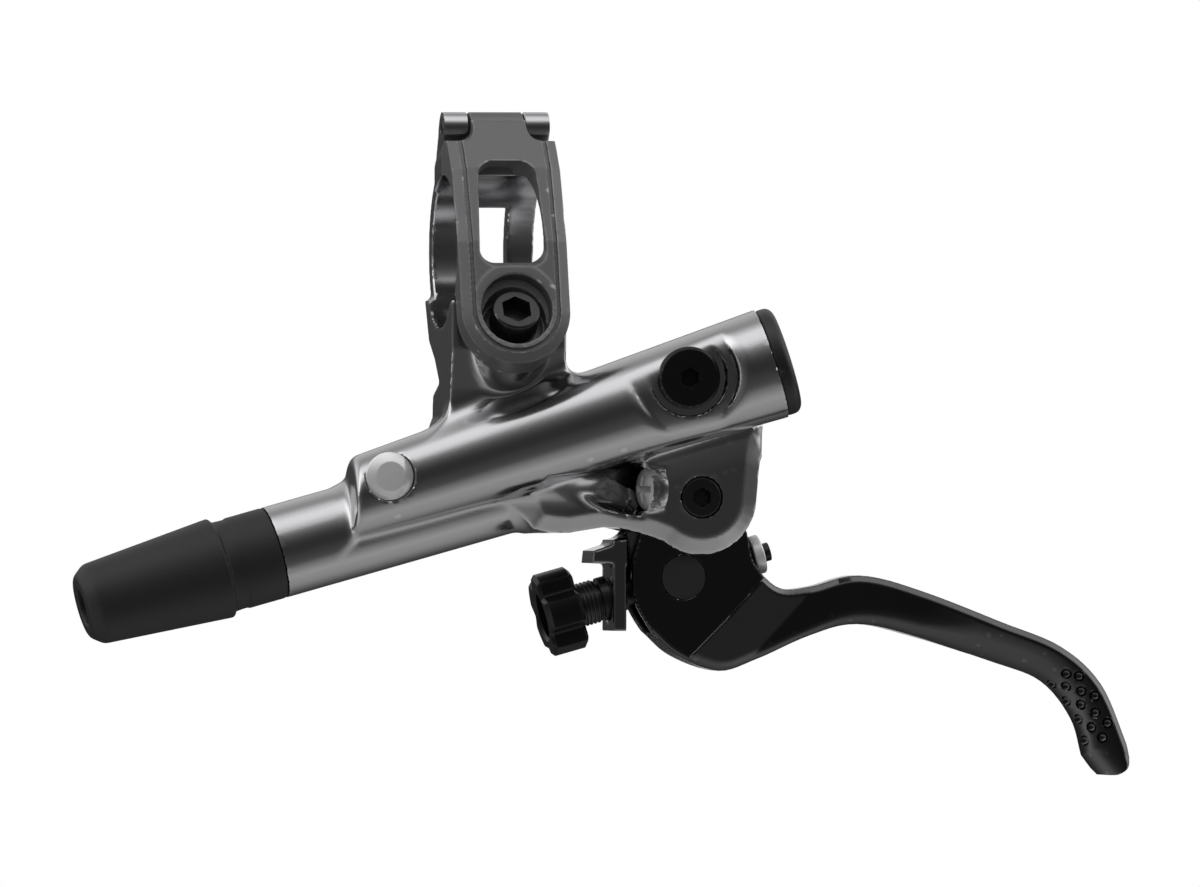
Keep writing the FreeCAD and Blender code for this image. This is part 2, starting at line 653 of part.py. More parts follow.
def pivot_bores():
    """Axle hole through both ears with a recess for the axle's head."""
    half = val("ear_half")
    hole = rod(val("axle_radius") + val("running_fit"), PIVOT + FRONT * 20, -FRONT, 40)
    recess = rod(val("axle_head_radius") + val("fit"),
                 PIVOT + FRONT * (half - val("axle_head_height")), FRONT, 9)
    return [hole, recess]


def on_pad(up, out=0.0):
    """Point above the middle of the bolt pad, and out of its face."""
    return PAD_CENTRE + PAD_UP * up + PAD_OUT * out


def on_face_rim(edge, half, knee, thin):
    """Whether an edge runs along the side or the round foot of the band's face."""
    middle = edge.valueAt((edge.FirstParameter + edge.LastParameter) / 2)
    if abs((middle - PAD_CENTRE).dot(PAD_OUT)) < 1e-3:
        at_side = abs(abs(middle.x) - half) < 1e-3
        at_foot = abs(middle.distanceToPoint(PAD_CENTRE) - half) < 1e-3
        return at_side or at_foot and middle.z < PAD_CENTRE.z
    at_side = abs(abs(middle.x) - half) < 1e-3 and middle.z > knee.z
    return at_side and middle.y < thin - 1.0 and min(edge.BoundBox.YLength, edge.BoundBox.ZLength) > 1.0


def shouldered(half, low):
    """Block with the band's front outline: shoulders with hollow corners below the tongue."""
    shoulder = val("band_shoulder")
    tongue_half = val("tongue_half")
    corner = val("band_corner")
    top = val("hinge_rise") + 2 * val("knuckle_radius")
    bend = corner * (1 - math.sqrt(0.5))
    edges = []
    for side in (-1, 1):
        outer = Vector(side * half, -30, shoulder)
        start = Vector(side * (tongue_half + corner), -30, shoulder)
        middle = Vector(side * (tongue_half + bend), -30, shoulder + bend)
        end = Vector(side * tongue_half, -30, shoulder + corner)
        edges += [Part.makeLine(Vector(side * half, -30, low), outer), Part.makeLine(outer, start),
                  Part.Arc(start, middle, end).toShape(),
                  Part.makeLine(end, Vector(side * tongue_half, -30, top))]
    edges.append(Part.makeLine(Vector(-tongue_half, -30, top), Vector(tongue_half, -30, top)))
    edges.append(Part.makeLine(Vector(-half, -30, low), Vector(half, -30, low)))
    outline = Part.Wire(Part.__sortEdges__(edges))
    return Part.Face(outline).extrude(Vector(0, 60, 0))


def make_band():
    """Clamp band: a bent plate with a window, a hinge tongue and a round pad for the bolt."""
    half = val("band_half")
    drop = val("parting_drop") - val("band_gap")
    rise = val("hinge_rise")
    bar = val("bar_radius")
    shoulder = val("band_shoulder")
    knee = on_pad((val("pad_knee") + val("pad_drop")) / PAD_UP.z)
    heel = on_pad(0, -val("pad_thick"))
    back_top = on_pad((-drop - heel.z) / PAD_UP.z, -val("pad_thick"))
    tongue_half = val("tongue_half")
    back = val("hinge_back")
    radius = val("knuckle_radius")
    top_front = val("band_top_front")
    thin = -0.5 * top_front
    profile = [(0.9, 0.5 * bar), (0.9, 0.8 * rise), (thin, shoulder), (thin, rise + 0.9),
               (-top_front, rise + 0.9), (-val("band_bend_front"), val("band_bend_rise")),
               (knee.y, knee.z), (PAD_CENTRE.y, PAD_CENTRE.z), (heel.y, heel.z),
               (back_top.y, back_top.z), (-0.45 * bar, -drop)]
    plate = slab_yz(profile, half).common(shouldered(half, heel.z - 1.0))
    tongue = slab_yz([(2 * thin, shoulder - 1.0), (0.5, shoulder - 1.0),
                      (back + 0.2 * radius, rise - 0.8 * radius), (back, rise + radius),
                      (-top_front, rise + 0.9)], tongue_half)
    plate = plate.fuse(tongue).removeSplitter()
    pad = rod(half, on_pad(0, -val("pad_thick")), PAD_OUT, val("pad_thick"))
    shape = plate.fuse(pad).removeSplitter()
    rims = [edge for edge in shape.Edges if on_face_rim(edge, half, knee, thin)]
    shape = shape.makeChamfer(val("band_chamfer"), rims)
    foot = val("band_ear_foot")
    ear = rod(val("band_ear_radius"), bolt_point(foot), BOLT_AXIS, 12)
    in_front = rod(30, on_pad(0), PAD_OUT, 30)
    knuckle = rod(radius, hinge_centre(-tongue_half), Vector(1, 0, 0), 2 * tongue_half)
    shape = shape.multiFuse([ear.cut(in_front), knuckle])
    bore = rod(bar, Vector(-60, 0, 0), Vector(1, 0, 0), 120)
    bolt = rod(val("bolt_radius") + 0.2, bolt_point(-20), BOLT_AXIS, 40)
    recess = rod(val("recess_radius"), on_pad(0, -val("recess_depth")), PAD_OUT, 10)
    counterbore = rod(val("bolt_washer_radius") + 0.4, bolt_point(BOLT_SEAT), BOLT_AXIS, 20)
    pin = rod(val("hinge_pin_radius") + val("running_fit"), hinge_centre(-20), Vector(1, 0, 0), 40)
    for cutter in (window_cut(), bore, bolt, recess, counterbore, pin):
        shape = shape.cut(cutter)
    return solid("clamp_band", shape)


def window_cut():
    """Rounded window through the band's face, narrowing towards the bar."""
    middle = (val("band_window_top") + val("band_window_bottom")) / 2
    high = (val("band_window_top") - val("band_window_bottom")) / 2
    rims = []
    for front in (-18.0, 0.5):
        narrower = val("band_window_draft") * (front + 12.5)
        rims.append(rounded_rectangle(front, middle, val("band_window_half") - narrower,
                                      high - narrower, val("band_window_corner") - 0.5 * narrower))
    return Part.makeLoft(rims, True, True)


def rounded_rectangle(front, middle, half, high, corner):
    """Wire in a plane across Y, with rounded corners."""
    edges = []
    reach = corner * math.sqrt(0.5)
    for across, up in ((1, 1), (-1, 1), (-1, -1), (1, -1)):
        start = Vector(across * half, front, middle + up * (high - corner))
        end = Vector(across * (half - corner), front, middle + up * high)
        bend = Vector(across * (half - corner + reach), front, middle + up * (high - corner + reach))
        points = (start, bend, end) if across == up else (end, bend, start)
        edges.append(Part.Arc(*points).toShape())
    wire = []
    for index, edge in enumerate(edges):
        following = edges[(index + 1) % 4]
        wire += [edge, Part.makeLine(edge.Vertexes[-1].Point, following.Vertexes[0].Point)]
    return Part.Wire(wire)


def make_link():
    """Link between the ears: hub, nose for the push rod and cradle wall for the reach screw."""
    half = val("link_half")
    lead = math.radians(val("nose_lead")) - TILT
    arm = -PIVOT.dot(ABOVE) + AXIS_START.dot(ABOVE)
    nose = PIVOT + Vector(math.sin(lead), 0, math.cos(lead)) * arm
    hub = rod(val("link_hub"), PIVOT + FRONT * half, -FRONT, 2 * half)
    tip = rod(val("nose_radius"), nose + FRONT * half, -FRONT, 2 * half)
    reach = val("link_hub") * 0.8
    round_off = 0.6 * val("nose_radius")
    web = slab_xz([(nose.x - round_off, nose.z), (nose.x + 0.95 * val("nose_radius"), nose.z),
                   (PIVOT.x + reach, PIVOT.z), (PIVOT.x - reach, PIVOT.z + 1.6),
                   (nose.x - round_off - 0.1, nose.z - 2.7)], -half, half)
    wall = on_screw(val("bush_at"))
    low = wall.x - 1.3
    high = wall.x + 0.65
    tail = slab_xz([(PIVOT.x - reach, PIVOT.z + 1.0), (PIVOT.x + 1.0, PIVOT.z - 5.0),
                    (PIVOT.x - 3.4, PIVOT.z - 7.2), (high + 0.6, wall.z + 3.4),
                    (low, wall.z + 3.4), (low, wall.z + 7.0)], -half, half)
    wall_half = val("wall_half")
    plate = slab_xz([(low, wall.z + 8.0), (high, wall.z + 8.0), (high, wall.z - 5.2),
                     (low, wall.z - 5.2)], -wall_half, wall_half)
    horn = slab_xz([(low - 3.1, wall.z + 4.6), (low - 2.9, wall.z + 6.4), (high, wall.z + 8.0),
                    (high, wall.z + 4.4)], -wall_half, wall_half)
    shape = hub.multiFuse([tip, web, tail, plate, horn])
    outer = val("axle_radius") + val("running_fit") + val("bush_wall")
    cuts = [rod(outer + val("running_fit"), PIVOT + FRONT * 20, -FRONT, 40),
            rod(val("bush_radius") + val("running_fit"), on_screw(val("bush_at") - 12), ALONG, 15),
            rod(val("shaft_radius") + 0.5, on_screw(val("bush_at") - 12), ALONG,
                12 - val("bush_length") / 2)]
    room = val("screw_room")
    cuts.append(rod(val("barrel_radius") + val("barrel_room"), BARREL + FRONT * 20, -FRONT, 40))
    cuts.append(rod(val("screw_radius") + room, on_screw(val("bush_at")), ALONG,
                    val("disc_at") - val("bush_at")))
    cuts.append(rod(val("disc_radius") + room, on_screw(val("disc_at") - room), ALONG,
                    val("disc_thick") + val("stub_length") + 2 * room))
    for cutter in cuts:
        shape = shape.cut(cutter)
    return solid("lever_link", shape)


def spline(points):
    """Smooth edge through a few (x, z) points."""
    curve = Part.BSplineCurve()
    curve.interpolate([Vector(across, 0, up) for across, up in points])
    return curve.toShape()


def on_blade(points):
    """(x, z) points of the blade given in shares of its reach, from the barrel."""
    reach = val("blade_reach")
    return [(BARREL.x + across * reach, BARREL.z + up * reach) for across, up in points]


def blade_outline():
    """Outline of the blade: cheeks round the barrel, long finger part and hooked tip."""
    top = on_blade([(0.142, 0.097), (0.159, 0.029), (0.216, -0.023), (0.292, -0.020), (0.397, 0.004),
                    (0.529, -0.029), (0.708, -0.097), (0.846, -0.153), (0.935, -0.234),
                    (0.988, -0.352), (1.0, -0.396)])
    tip = [top[-1]] + on_blade([(0.981, -0.430), (0.941, -0.434)])
    bottom = [tip[-1]] + on_blade([(0.899, -0.393), (0.875, -0.311), (0.810, -0.231),
                                   (0.708, -0.190), (0.529, -0.131), (0.397, -0.103),
                                   (0.290, -0.128), (0.175, -0.178), (0.086, -0.205),
                                   (-0.009, -0.171), (-0.068, -0.121)])
    left = [bottom[-1]] + on_blade([(-0.110, -0.045), (-0.113, 0.026), (-0.095, 0.097)])
    hub = val("link_hub") * 0.95
    lug_top = PIVOT + Vector(0, 0, hub)
    right_edge = PIVOT + Vector(hub * 0.98, 0, hub * -0.2)
    left_edge = PIVOT + Vector(-hub * 0.98, 0, hub * -0.2)
    edges = [spline(top), Part.Arc(*[Vector(a, 0, b) for a, b in tip]).toShape(), spline(bottom),
             spline(left), Part.makeLine(Vector(left[-1][0], 0, left[-1][1]), left_edge),
             Part.Arc(left_edge, lug_top, right_edge).toShape(),
             Part.makeLine(right_edge, Vector(top[0][0], 0, top[0][1]))]
    return Part.Face(Part.Wire(edges))


def dimples():
    """Grip dimples: staggered rows that follow the inner edge of the hook."""
    radius = val("dimple_radius")
    depth = val("dimple_depth")
    ball = (radius ** 2 + depth ** 2) / (2 * depth)
    front = val("blade_half") + ball - depth
    (across, up), (corner_across, corner_up), (end_across, end_up) = on_blade(
        [(0.845, -0.215), (0.905, -0.290), (0.925, -0.385)])
    arc = Part.Arc(Vector(across, -front, up), Vector(corner_across, -front, corner_up),
                   Vector(end_across, -front, end_up)).toShape()
    cutters = []
    for row in range(int(val("dimple_rows"))):
        for side in (0, 1, 2):
            along = (row + 0.5 * (side % 2)) * val("dimple_pitch")
            if along > arc.Length:
                continue
            place = arc.getParameterByLength(along)
            inward = arc.normalAt(place)
            cutters.append(Part.makeSphere(ball, arc.valueAt(place) + inward * side * 0.6 * val("dimple_pitch")))
    return cutters


def make_blade():
    """Blade: forked at the pivot and the barrel, full and rounded along the finger part."""
    half = val("blade_half")
    face = blade_outline()
    face.translate(Vector(0, -half, 0))
    shape = face.extrude(Vector(0, 2 * half, 0))
    long_rims = [edge for edge in shape.Edges
                 if edge.BoundBox.YLength < 1e-3 and edge.BoundBox.XMax > PIVOT.x + 20]
    shape = shape.makeFillet(val("blade_round"), long_rims)
    cheek = val("cheek_half")
    far_left = BARREL.x - 30
    flank = on_blade([(0.193, 0.41), (0.193, 0.018), (0.095, -0.088), (-0.041, -0.224)])
    flank = [(far_left, flank[0][1])] + flank + [(far_left, flank[-1][1])]
    for low, high in ((-30, -cheek), (cheek, 30)):
        shape = shape.cut(slab_xz(flank, low, high))
    ending = val("disc_at") + val("disc_thick") + val("stub_length")
    deep = val("disc_radius") + val("fork_room")
    foot = on_screw(-val("barrel_radius") - val("fork_room"), -deep)
    floor = [on_screw(ending + 2.0, -0.65 * deep), on_screw(ending - 1.0, -deep), foot]
    fork = [(far_left, BARREL.z + 30), (floor[0].x, BARREL.z + 30)]
    fork += [(point.x, point.z) for point in floor]
    fork += [(foot.x, foot.z - 9.0), (far_left, foot.z - 9.0)]
    gap = val("cheek_gap")
    barrel = rod(val("barrel_radius") + val("barrel_play"), BARREL + FRONT * 20, -FRONT, 40)
    pivot = rod(val("axle_radius") + val("running_fit"), PIVOT + FRONT * 20, -FRONT, 40)
    for cutter in [slab_xz(fork, -gap, gap), barrel, pivot] + dimples():
        shape = shape.cut(cutter)
    return solid("lever_blade", shape)


def make_turned_parts():
    """Pieces that are turned about one axis."""
    turned("clamp_hinge_pin", facing(hinge_centre(-val("hinge_half")), Vector(1, 0, 0)),
           [("0", "0"), ("0", "hinge_pin_radius"), ("2*hinge_half", "hinge_pin_radius"),
            ("2*hinge_half", "0")])
    washer_base = bolt_point(BOLT_SEAT)
    turned("clamp_washer", facing(washer_base, BOLT_AXIS),
           [("0", "bolt_radius+fit"), ("0", "bolt_washer_radius"),
            ("bolt_washer_thick", "bolt_washer_radius"), ("bolt_washer_thick", "bolt_radius+fit")])
    top = bolt_point(BOLT_SEAT + val("bolt_washer_thick") + val("bolt_head_height"))
    bolt = turned("clamp_bolt", facing(top, -BOLT_AXIS),
                  [("0", "0"), ("0", "bolt_head_radius-fit-fit"), ("fit+fit", "bolt_head_radius"),
                   ("bolt_head_height", "bolt_head_radius"), ("bolt_head_height", "bolt_radius"),
                   ("bolt_head_height+bolt_reach-0.5", "bolt_radius"),
                   ("bolt_head_height+bolt_reach", "bolt_radius-0.5"),
                   ("bolt_head_height+bolt_reach", "0")])
    hex_socket(bolt, "bolt_socket", "0", "0.75*bolt_head_height")
    turned("reservoir_end_cap", facing(RESERVOIR_END, RESERVOIR_AXIS),
           [("0", "mouth_radius-fit-skin_thick"), ("0", "cap_radius"),
            ("cap_height-cap_round", "cap_radius"),
            ("cap_height-0.3*cap_round", "cap_radius-0.3*cap_round"),
            ("cap_height", "cap_radius-cap_round"), ("cap_height", "0"), ("1.2", "0"),
            ("1.2", "0.6*mouth_radius"), ("0", "0.6*mouth_radius")])
    turned("reservoir_diaphragm", facing(RESERVOIR_END, -RESERVOIR_AXIS),
           [("0", "0.62*mouth_radius"), ("0", "mouth_radius-fit"),
            ("mouth_depth-fit", "mouth_radius-fit"), ("mouth_depth-fit", "0.57*mouth_radius"),
            ("skin_length", "0.57*mouth_radius"), ("skin_length", "0"),
            ("skin_length-skin_thick", "0"),
            ("skin_length-skin_thick", "0.57*mouth_radius-skin_thick"),
            ("mouth_depth", "0.57*mouth_radius-skin_thick")])
    plug_at = on_cylinder(val("plug_at"), val("plug_offset"), val("plug_face"))
    turned("passage_plug", facing(plug_at, -FRONT),
           [("0", "0"), ("0", "plug_flat"), ("0.7*plug_height", "plug_radius"),
            ("plug_height", "plug_radius"), ("plug_height", "plug_flat"),
            ("plug_height+plug_stub", "plug_flat"), ("plug_height+plug_stub", "0")])
    bleed_face = val("bleed_seat") + val("bleed_head_height")
    bleed = turned("bleed_screw",
                   facing(on_cylinder(val("bleed_at"), val("bleed_offset"), bleed_face), -FRONT),
                   [("0", "0"), ("0", "bleed_head-0.4"), ("0.4", "bleed_head"),
                    ("bleed_head_height", "bleed_head"), ("bleed_head_height", "bleed_thread"),
                    ("bleed_head_height+bleed_length", "bleed_thread"),
                    ("bleed_head_height+bleed_length", "0")])
    hex_socket(bleed, "bleed_socket", "0", "1.6*bleed_head_height")
    axle_face = PIVOT + FRONT * val("ear_half")
    axle = turned("pivot_axle", facing(axle_face, -FRONT),
                  [("0", "0"), ("0", "axle_head_radius-0.2"), ("0.2", "axle_head_radius"),
                   ("axle_head_height", "axle_head_radius"), ("axle_head_height", "axle_radius"),
                   ("2*ear_half+rest_gap", "axle_radius"),
                   ("2*ear_half+rest_gap", "axle_radius-clip_groove"),
                   ("2*ear_half+rest_gap+clip_thick+fit", "axle_radius-clip_groove"),
                   ("2*ear_half+rest_gap+clip_thick+fit", "axle_radius"),
                   ("2*ear_half+axle_tail", "axle_radius"), ("2*ear_half+axle_tail", "0")])
    hex_socket(axle, "axle_socket", "0", "1.5*axle_head_height")
    clip = turned("axle_clip", facing(axle_face, -FRONT),
                  [("2*ear_half+rest_gap+0.5*fit", "axle_radius-clip_groove+fit"),
                   ("2*ear_half+rest_gap+0.5*fit", "clip_radius"),
                   ("2*ear_half+rest_gap+0.5*fit+clip_thick", "clip_radius"),
                   ("2*ear_half+rest_gap+0.5*fit+clip_thick", "axle_radius-clip_groove+fit")])
    cut_across(clip, "axle_clip_mouth",
               [("-0.7*axle_radius", "0.1*axle_radius"), ("0.7*axle_radius", "0.1*axle_radius"),
                ("0.7*axle_radius", "3*axle_radius"), ("-0.7*axle_radius", "3*axle_radius")],
               "2*ear_half", "3*clip_thick")
    turned("pivot_bush", facing(PIVOT + FRONT * val("link_half"), -FRONT),
           [("0", "axle_radius+running_fit"), ("0", "axle_radius+running_fit+bush_wall"),
            ("2*link_half", "axle_radius+running_fit+bush_wall"),
            ("2*link_half", "axle_radius+running_fit")])


def make_piston_train():
    """Piston with its seals, spring, stop clip and push rod, all in the bore."""
    bore = facing(on_cylinder(0), ALONG)
    slide = "bore_radius-running_fit"
    turned("piston", bore,
           [("piston_start", "0"), ("piston_start", "piston_neck"),
            ("front_seal_at+seal_width+rest_gap", "piston_neck"),
            ("front_seal_at+seal_width+rest_gap", slide),
            ("front_seal_at+seal_width+2.2", slide), ("front_seal_at+seal_width+2.2", "piston_neck"),
            ("rear_seal_at-1.4", "piston_neck"), ("rear_seal_at-1.4", slide),
            ("rear_seal_at-rest_gap", slide), ("rear_seal_at-rest_gap", "piston_neck"),
            ("rear_seal_at+seal_width+rest_gap", "piston_neck"),
            ("rear_seal_at+seal_width+rest_gap", slide), ("piston_end", slide),
            ("piston_end", "rod_radius+0.8"), ("rod_seat", "rod_radius+0.2"), ("rod_seat", "0")])
    for label, place in (("primary_cup_seal", "front_seal_at"),
                         ("secondary_cup_seal", "rear_seal_at")):
        turned(label, bore,
               [(place, "piston_neck+running_fit"), (place, "piston_neck+0.5"),
                (place + "+0.5*seal_width", "piston_neck+0.6"), (place, slide + "-0.4"),
                (place, slide), (place + "+seal_width", slide + "-0.2"),
                (place + "+seal_width", "piston_neck+running_fit")])
    turned("push_rod", bore,
           [("rod_seat+rest_gap", "0"), ("rod_seat+rest_gap", "0.6*rod_radius"),
            ("rod_seat+rest_gap+0.8", "rod_radius"), ("rod_end-0.6", "rod_radius"),
            ("rod_end", "rod_radius-0.5"), ("rod_end", "0")])
    clip = turned("piston_stop_clip", bore,
                  [("clip_seat+0.5*fit", "bore_radius-1.2"), ("clip_seat+0.5*fit", "bore_radius+0.5"),
                   ("clip_seat+0.5*fit+clip_thick", "bore_radius+0.5"),
                   ("clip_seat+0.5*fit+clip_thick", "bore_radius-1.2")])
    cut_across(clip, "piston_stop_clip_mouth",
               [("-1.5", "0.2*bore_radius"), ("1.5", "0.2*bore_radius"),
                ("1.5", "2*bore_radius"), ("-1.5", "2*bore_radius")], "clip_seat-1", "3")
    make_spring()


def make_spring():
    """Return spring of the piston, between the end of the bore and the piston's nose."""
    wire = val("spring_wire") / 2
    start = val("bore_start") + wire + val("fit")
    end = val("piston_start") - wire - val("fit")
    length = end - start
    radius = val("spring_radius")
    helix = Part.makeHelix(length / val("spring_turns"), length, radius)
    section = Part.Wire([Part.makeCircle(wire, Vector(radius, 0, 0), Vector(0, 1, 0))])
    coil = Part.Wire(helix.Edges).makePipeShell([section], True, True)
    feature = doc.addObject("Part::Feature", "piston_spring")
    feature.Label = "piston_spring"
    feature.Shape = coil
    feature.Placement = Placement(on_cylinder(start), Rotation(Vector(0, 0, 1), ALONG))


def make_adjusters():
    """Free-stroke screw, reach screw with its knob, swivel bush, stop disc and barrel."""
    stroke_screw = turned(
        "free_stroke_screw", facing(stroke_point(), -stroke_direction()),
        [("0", "0"), ("0", "0.35*stroke_screw_radius"), ("0.15", "0.7*stroke_screw_radius"),
         ("0.45", "0.9*stroke_screw_radius"), ("0.9", "stroke_screw_radius"),
         ("stroke_screw_height", "stroke_screw_radius"),
         ("stroke_screw_height", "stroke_screw_stub"),
         ("stroke_screw_height+stroke_screw_length", "stroke_screw_stub"),
         ("stroke_screw_height+stroke_screw_length", "0")])
    arm = "cross_reach"
    web = "cross_width/2"
    cut_across(stroke_screw, "cross_recess",
               [(arm, web), (web, web), (web, arm), ("-" + web, arm), ("-" + web, web),
                ("-" + arm, web), ("-" + arm, "-" + web), ("-" + web, "-" + web),
                ("-" + web, "-" + arm), (web, "-" + arm), (web, "-" + web), (arm, "-" + web)],
               "0", "0.6*stroke_screw_height")
    along_screw = facing(BARREL, ALONG)
    hub_end = "knob_start+knob_length"
    turned("reach_screw", along_screw,
           [("knob_start+0.6*knob_length", "0"), ("knob_start+0.6*knob_length", "screw_radius"),
            (hub_end, "screw_radius"), (hub_end, "shaft_radius"),
            ("bush_at-1.5*bush_length", "shaft_radius"),
            ("bush_at-1.5*bush_length", "shaft_radius-0.5"),
            ("bush_at-1.3*bush_length", "shaft_radius-0.5"),
            ("bush_at-1.3*bush_length", "shaft_radius+0.2"),
            ("bush_at-0.5*bush_length-rest_gap", "shaft_radius+0.2"),
            ("bush_at-0.5*bush_length-rest_gap", "screw_radius"),
            ("disc_at+disc_thick+0.1", "screw_radius"), ("disc_at+disc_thick+0.1", "stub_radius"),
            ("disc_at+disc_thick+stub_length", "stub_radius"),
            ("disc_at+disc_thick+stub_length", "0")])
    turned("swivel_bush", along_screw,
           [("bush_at-0.5*bush_length", "screw_radius+running_fit"),
            ("bush_at-0.5*bush_length", "bush_radius-0.2"), ("bush_at", "bush_radius"),
            ("bush_at+0.5*bush_length", "bush_radius-0.2"),
            ("bush_at+0.5*bush_length", "screw_radius+running_fit")])
    turned("screw_stop_disc", along_screw,
           [("disc_at", "screw_radius+running_fit"), ("disc_at", "disc_radius-0.2"),
            ("disc_at+0.2", "disc_radius"), ("disc_at+disc_thick-0.2", "disc_radius"),
            ("disc_at+disc_thick", "disc_radius-0.2"),
            ("disc_at+disc_thick", "screw_radius+running_fit")])
    barrel = rod(val("barrel_radius"), BARREL + FRONT * val("cheek_half"), -FRONT,
                 2 * val("cheek_half"))
    hole = rod(val("screw_radius") + val("running_fit"), on_screw(-20), ALONG, 40)
    solid("adjuster_barrel", barrel.cut(hole))
    make_knob()


def make_knob():
    """Knob with raised lobes round its rim and a dished face."""
    start = on_screw(val("knob_start"))
    length = val("knob_length")
    core = rod(val("knob_core"), start, ALONG, length)
    rim = rod(val("knob_radius"), start, ALONG, length)
    rim = rim.makeChamfer(0.5, [edge for edge in rim.Edges if edge.Length > 6 * val("knob_radius")])
    lobes = int(val("knob_lobes"))
    for number in range(lobes):
        valley = rod(val("knob_radius") * 0.42, start - ALONG, ALONG, length + 2)
        valley.translate(Vector(0, -1, 0) * val("knob_radius") * 1.18)
        valley.rotate(start, ALONG, 360.0 * number / lobes)
        rim = rim.cut(valley)
    shape = core.fuse(rim)
    dish = rod(val("knob_dish"), start, ALONG, 0.6 * length - 0.4)
    hole = rod(val("screw_radius") + val("running_fit"), start, ALONG, length)
    solid("reach_knob", shape.cut(dish).cut(hole))


def make_o_ring():
    """Seal under the bleed screw's head."""
    ring = doc.addObject("Part::Torus", "bleed_screw_o_ring")
    ring.Label = "bleed_screw_o_ring"
    ring.setExpression("Radius1", "Sizes.bleed_thread + Sizes.ring_thick * 0.5 + Sizes.fit")
    ring.setExpression("Radius2", "Sizes.ring_thick * 0.5")
    depth = val("bleed_seat") - val("ring_thick") / 2 - val("fit") / 2
    ring.Placement = Placement(on_cylinder(val("bleed_at"), val("bleed_offset"), depth),
                               Rotation(Vector(0, 0, 1), FRONT))


def make_hose_end():
    """Rubber boot over the connecting bolt, with the crimped olive in the port."""
    tip = on_cylinder(val("tube_start") - val("boot_length"))
    turned("hose_boot", facing(tip, ALONG),
           [("0", "hose_radius+fit"), ("0", "boot_tip_radius"),
            ("boot_shoulder", "boot_shoulder_radius"),
            ("0.5*boot_shoulder+0.5*boot_wide_at", "0.55*boot_radius+0.45*boot_shoulder_radius"),
            ("boot_wide_at", "boot_radius"), ("boot_wide_at+0.3", "boot_radius-0.7"),
            ("0.5*boot_wide_at+0.5*boot_groove", "boot_radius-0.75"),
            ("boot_groove-0.3", "boot_collar_radius-0.2"), ("boot_groove", "boot_collar_radius"),
            ("boot_length", "boot_collar_radius"), ("boot_length", "nut_radius+fit"),
            ("boot_length-nut_length-0.3", "nut_radius+fit"),
            ("boot_length-nut_length-0.3", "hose_radius+fit")])
    turned("connecting_bolt", facing(on_cylinder(val("tube_start")), ALONG),
           [("-nut_length", "hose_radius+fit"), ("-nut_length", "nut_radius-0.6"),
            ("0.5-nut_length", "nut_radius"), ("-rest_gap", "nut_radius"),
            ("-rest_gap", "port_radius-running_fit"), ("3.0", "port_radius-running_fit"),
            ("3.0", "hose_radius+fit")])
    turned("olive", facing(on_cylinder(val("tube_start")), ALONG),
           [("3.2", "hose_radius+fit"), ("3.2", "olive_radius-0.3"),
            ("3.2+0.5*olive_length", "olive_radius"), ("3.2+olive_length-0.1", "olive_radius-0.3"),
            ("3.2+olive_length-0.1", "hose_radius+fit")])


make_casting()
make_band()
make_turned_parts()
make_piston_train()
make_adjusters()
make_link()
make_blade()
make_o_ring()
make_hose_end()
doc.recompute()

for item in doc.Objects:
    if "Invalid" in item.State or "Error" in item.State:
        raise RuntimeError(f"{item.Name} failed: {item.State}")

pieces = [item for item in doc.Objects
          if item.TypeId in ("PartDesign::Body", "Part::Feature", "Part::Torus")]
for item in pieces:
    if item.Shape.isNull() or not item.Shape.isValid():
        raise RuntimeError(f"{item.Label} has no valid shape")

os.makedirs("parts", exist_ok=True)
for item in pieces:
    item.Shape.exportStep(f"parts/{item.Label}.step")
    print(item.Label, len(item.Shape.Solids), round(item.Shape.Volume, 1))
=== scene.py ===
"""Looks of a hydraulic brake lever: cast body, clamp, blade, knob and their finishes."""

import json
import math

import bmesh
import bpy
import numpy as np
from bpy.props import FloatProperty, FloatVectorProperty, IntProperty, PointerProperty
from mathutils import Matrix, Vector


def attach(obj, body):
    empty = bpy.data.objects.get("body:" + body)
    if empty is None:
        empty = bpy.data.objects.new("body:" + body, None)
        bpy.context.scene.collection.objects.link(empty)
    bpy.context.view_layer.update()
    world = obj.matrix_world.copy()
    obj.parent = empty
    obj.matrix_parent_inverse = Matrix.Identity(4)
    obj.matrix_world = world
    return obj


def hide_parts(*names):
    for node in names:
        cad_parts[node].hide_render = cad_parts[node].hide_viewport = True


bl_info = {
    "name": "Brake lever",
    "version": (1, 0, 0),
    "blender": (4, 5, 0),
    "location": "View3D > Sidebar > Brake lever",
    "description": "Builds the pieces and finishes of a hydraulic brake lever",
    "category": "Object",
}

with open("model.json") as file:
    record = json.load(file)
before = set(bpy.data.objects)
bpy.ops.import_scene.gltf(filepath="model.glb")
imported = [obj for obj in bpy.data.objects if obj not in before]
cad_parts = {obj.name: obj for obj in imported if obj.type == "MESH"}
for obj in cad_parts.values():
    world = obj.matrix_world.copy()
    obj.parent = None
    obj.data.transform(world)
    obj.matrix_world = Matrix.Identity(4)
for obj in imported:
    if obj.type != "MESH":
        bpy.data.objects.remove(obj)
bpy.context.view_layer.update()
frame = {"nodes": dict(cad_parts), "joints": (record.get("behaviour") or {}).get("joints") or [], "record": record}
JOINTS = {joint["name"]: joint for joint in frame["joints"]}
MM = 0.001
MATERIALS = {}


def in_mm(values):
    """Numbers in metres as an array in millimetres."""
    return np.array(values, float) / MM


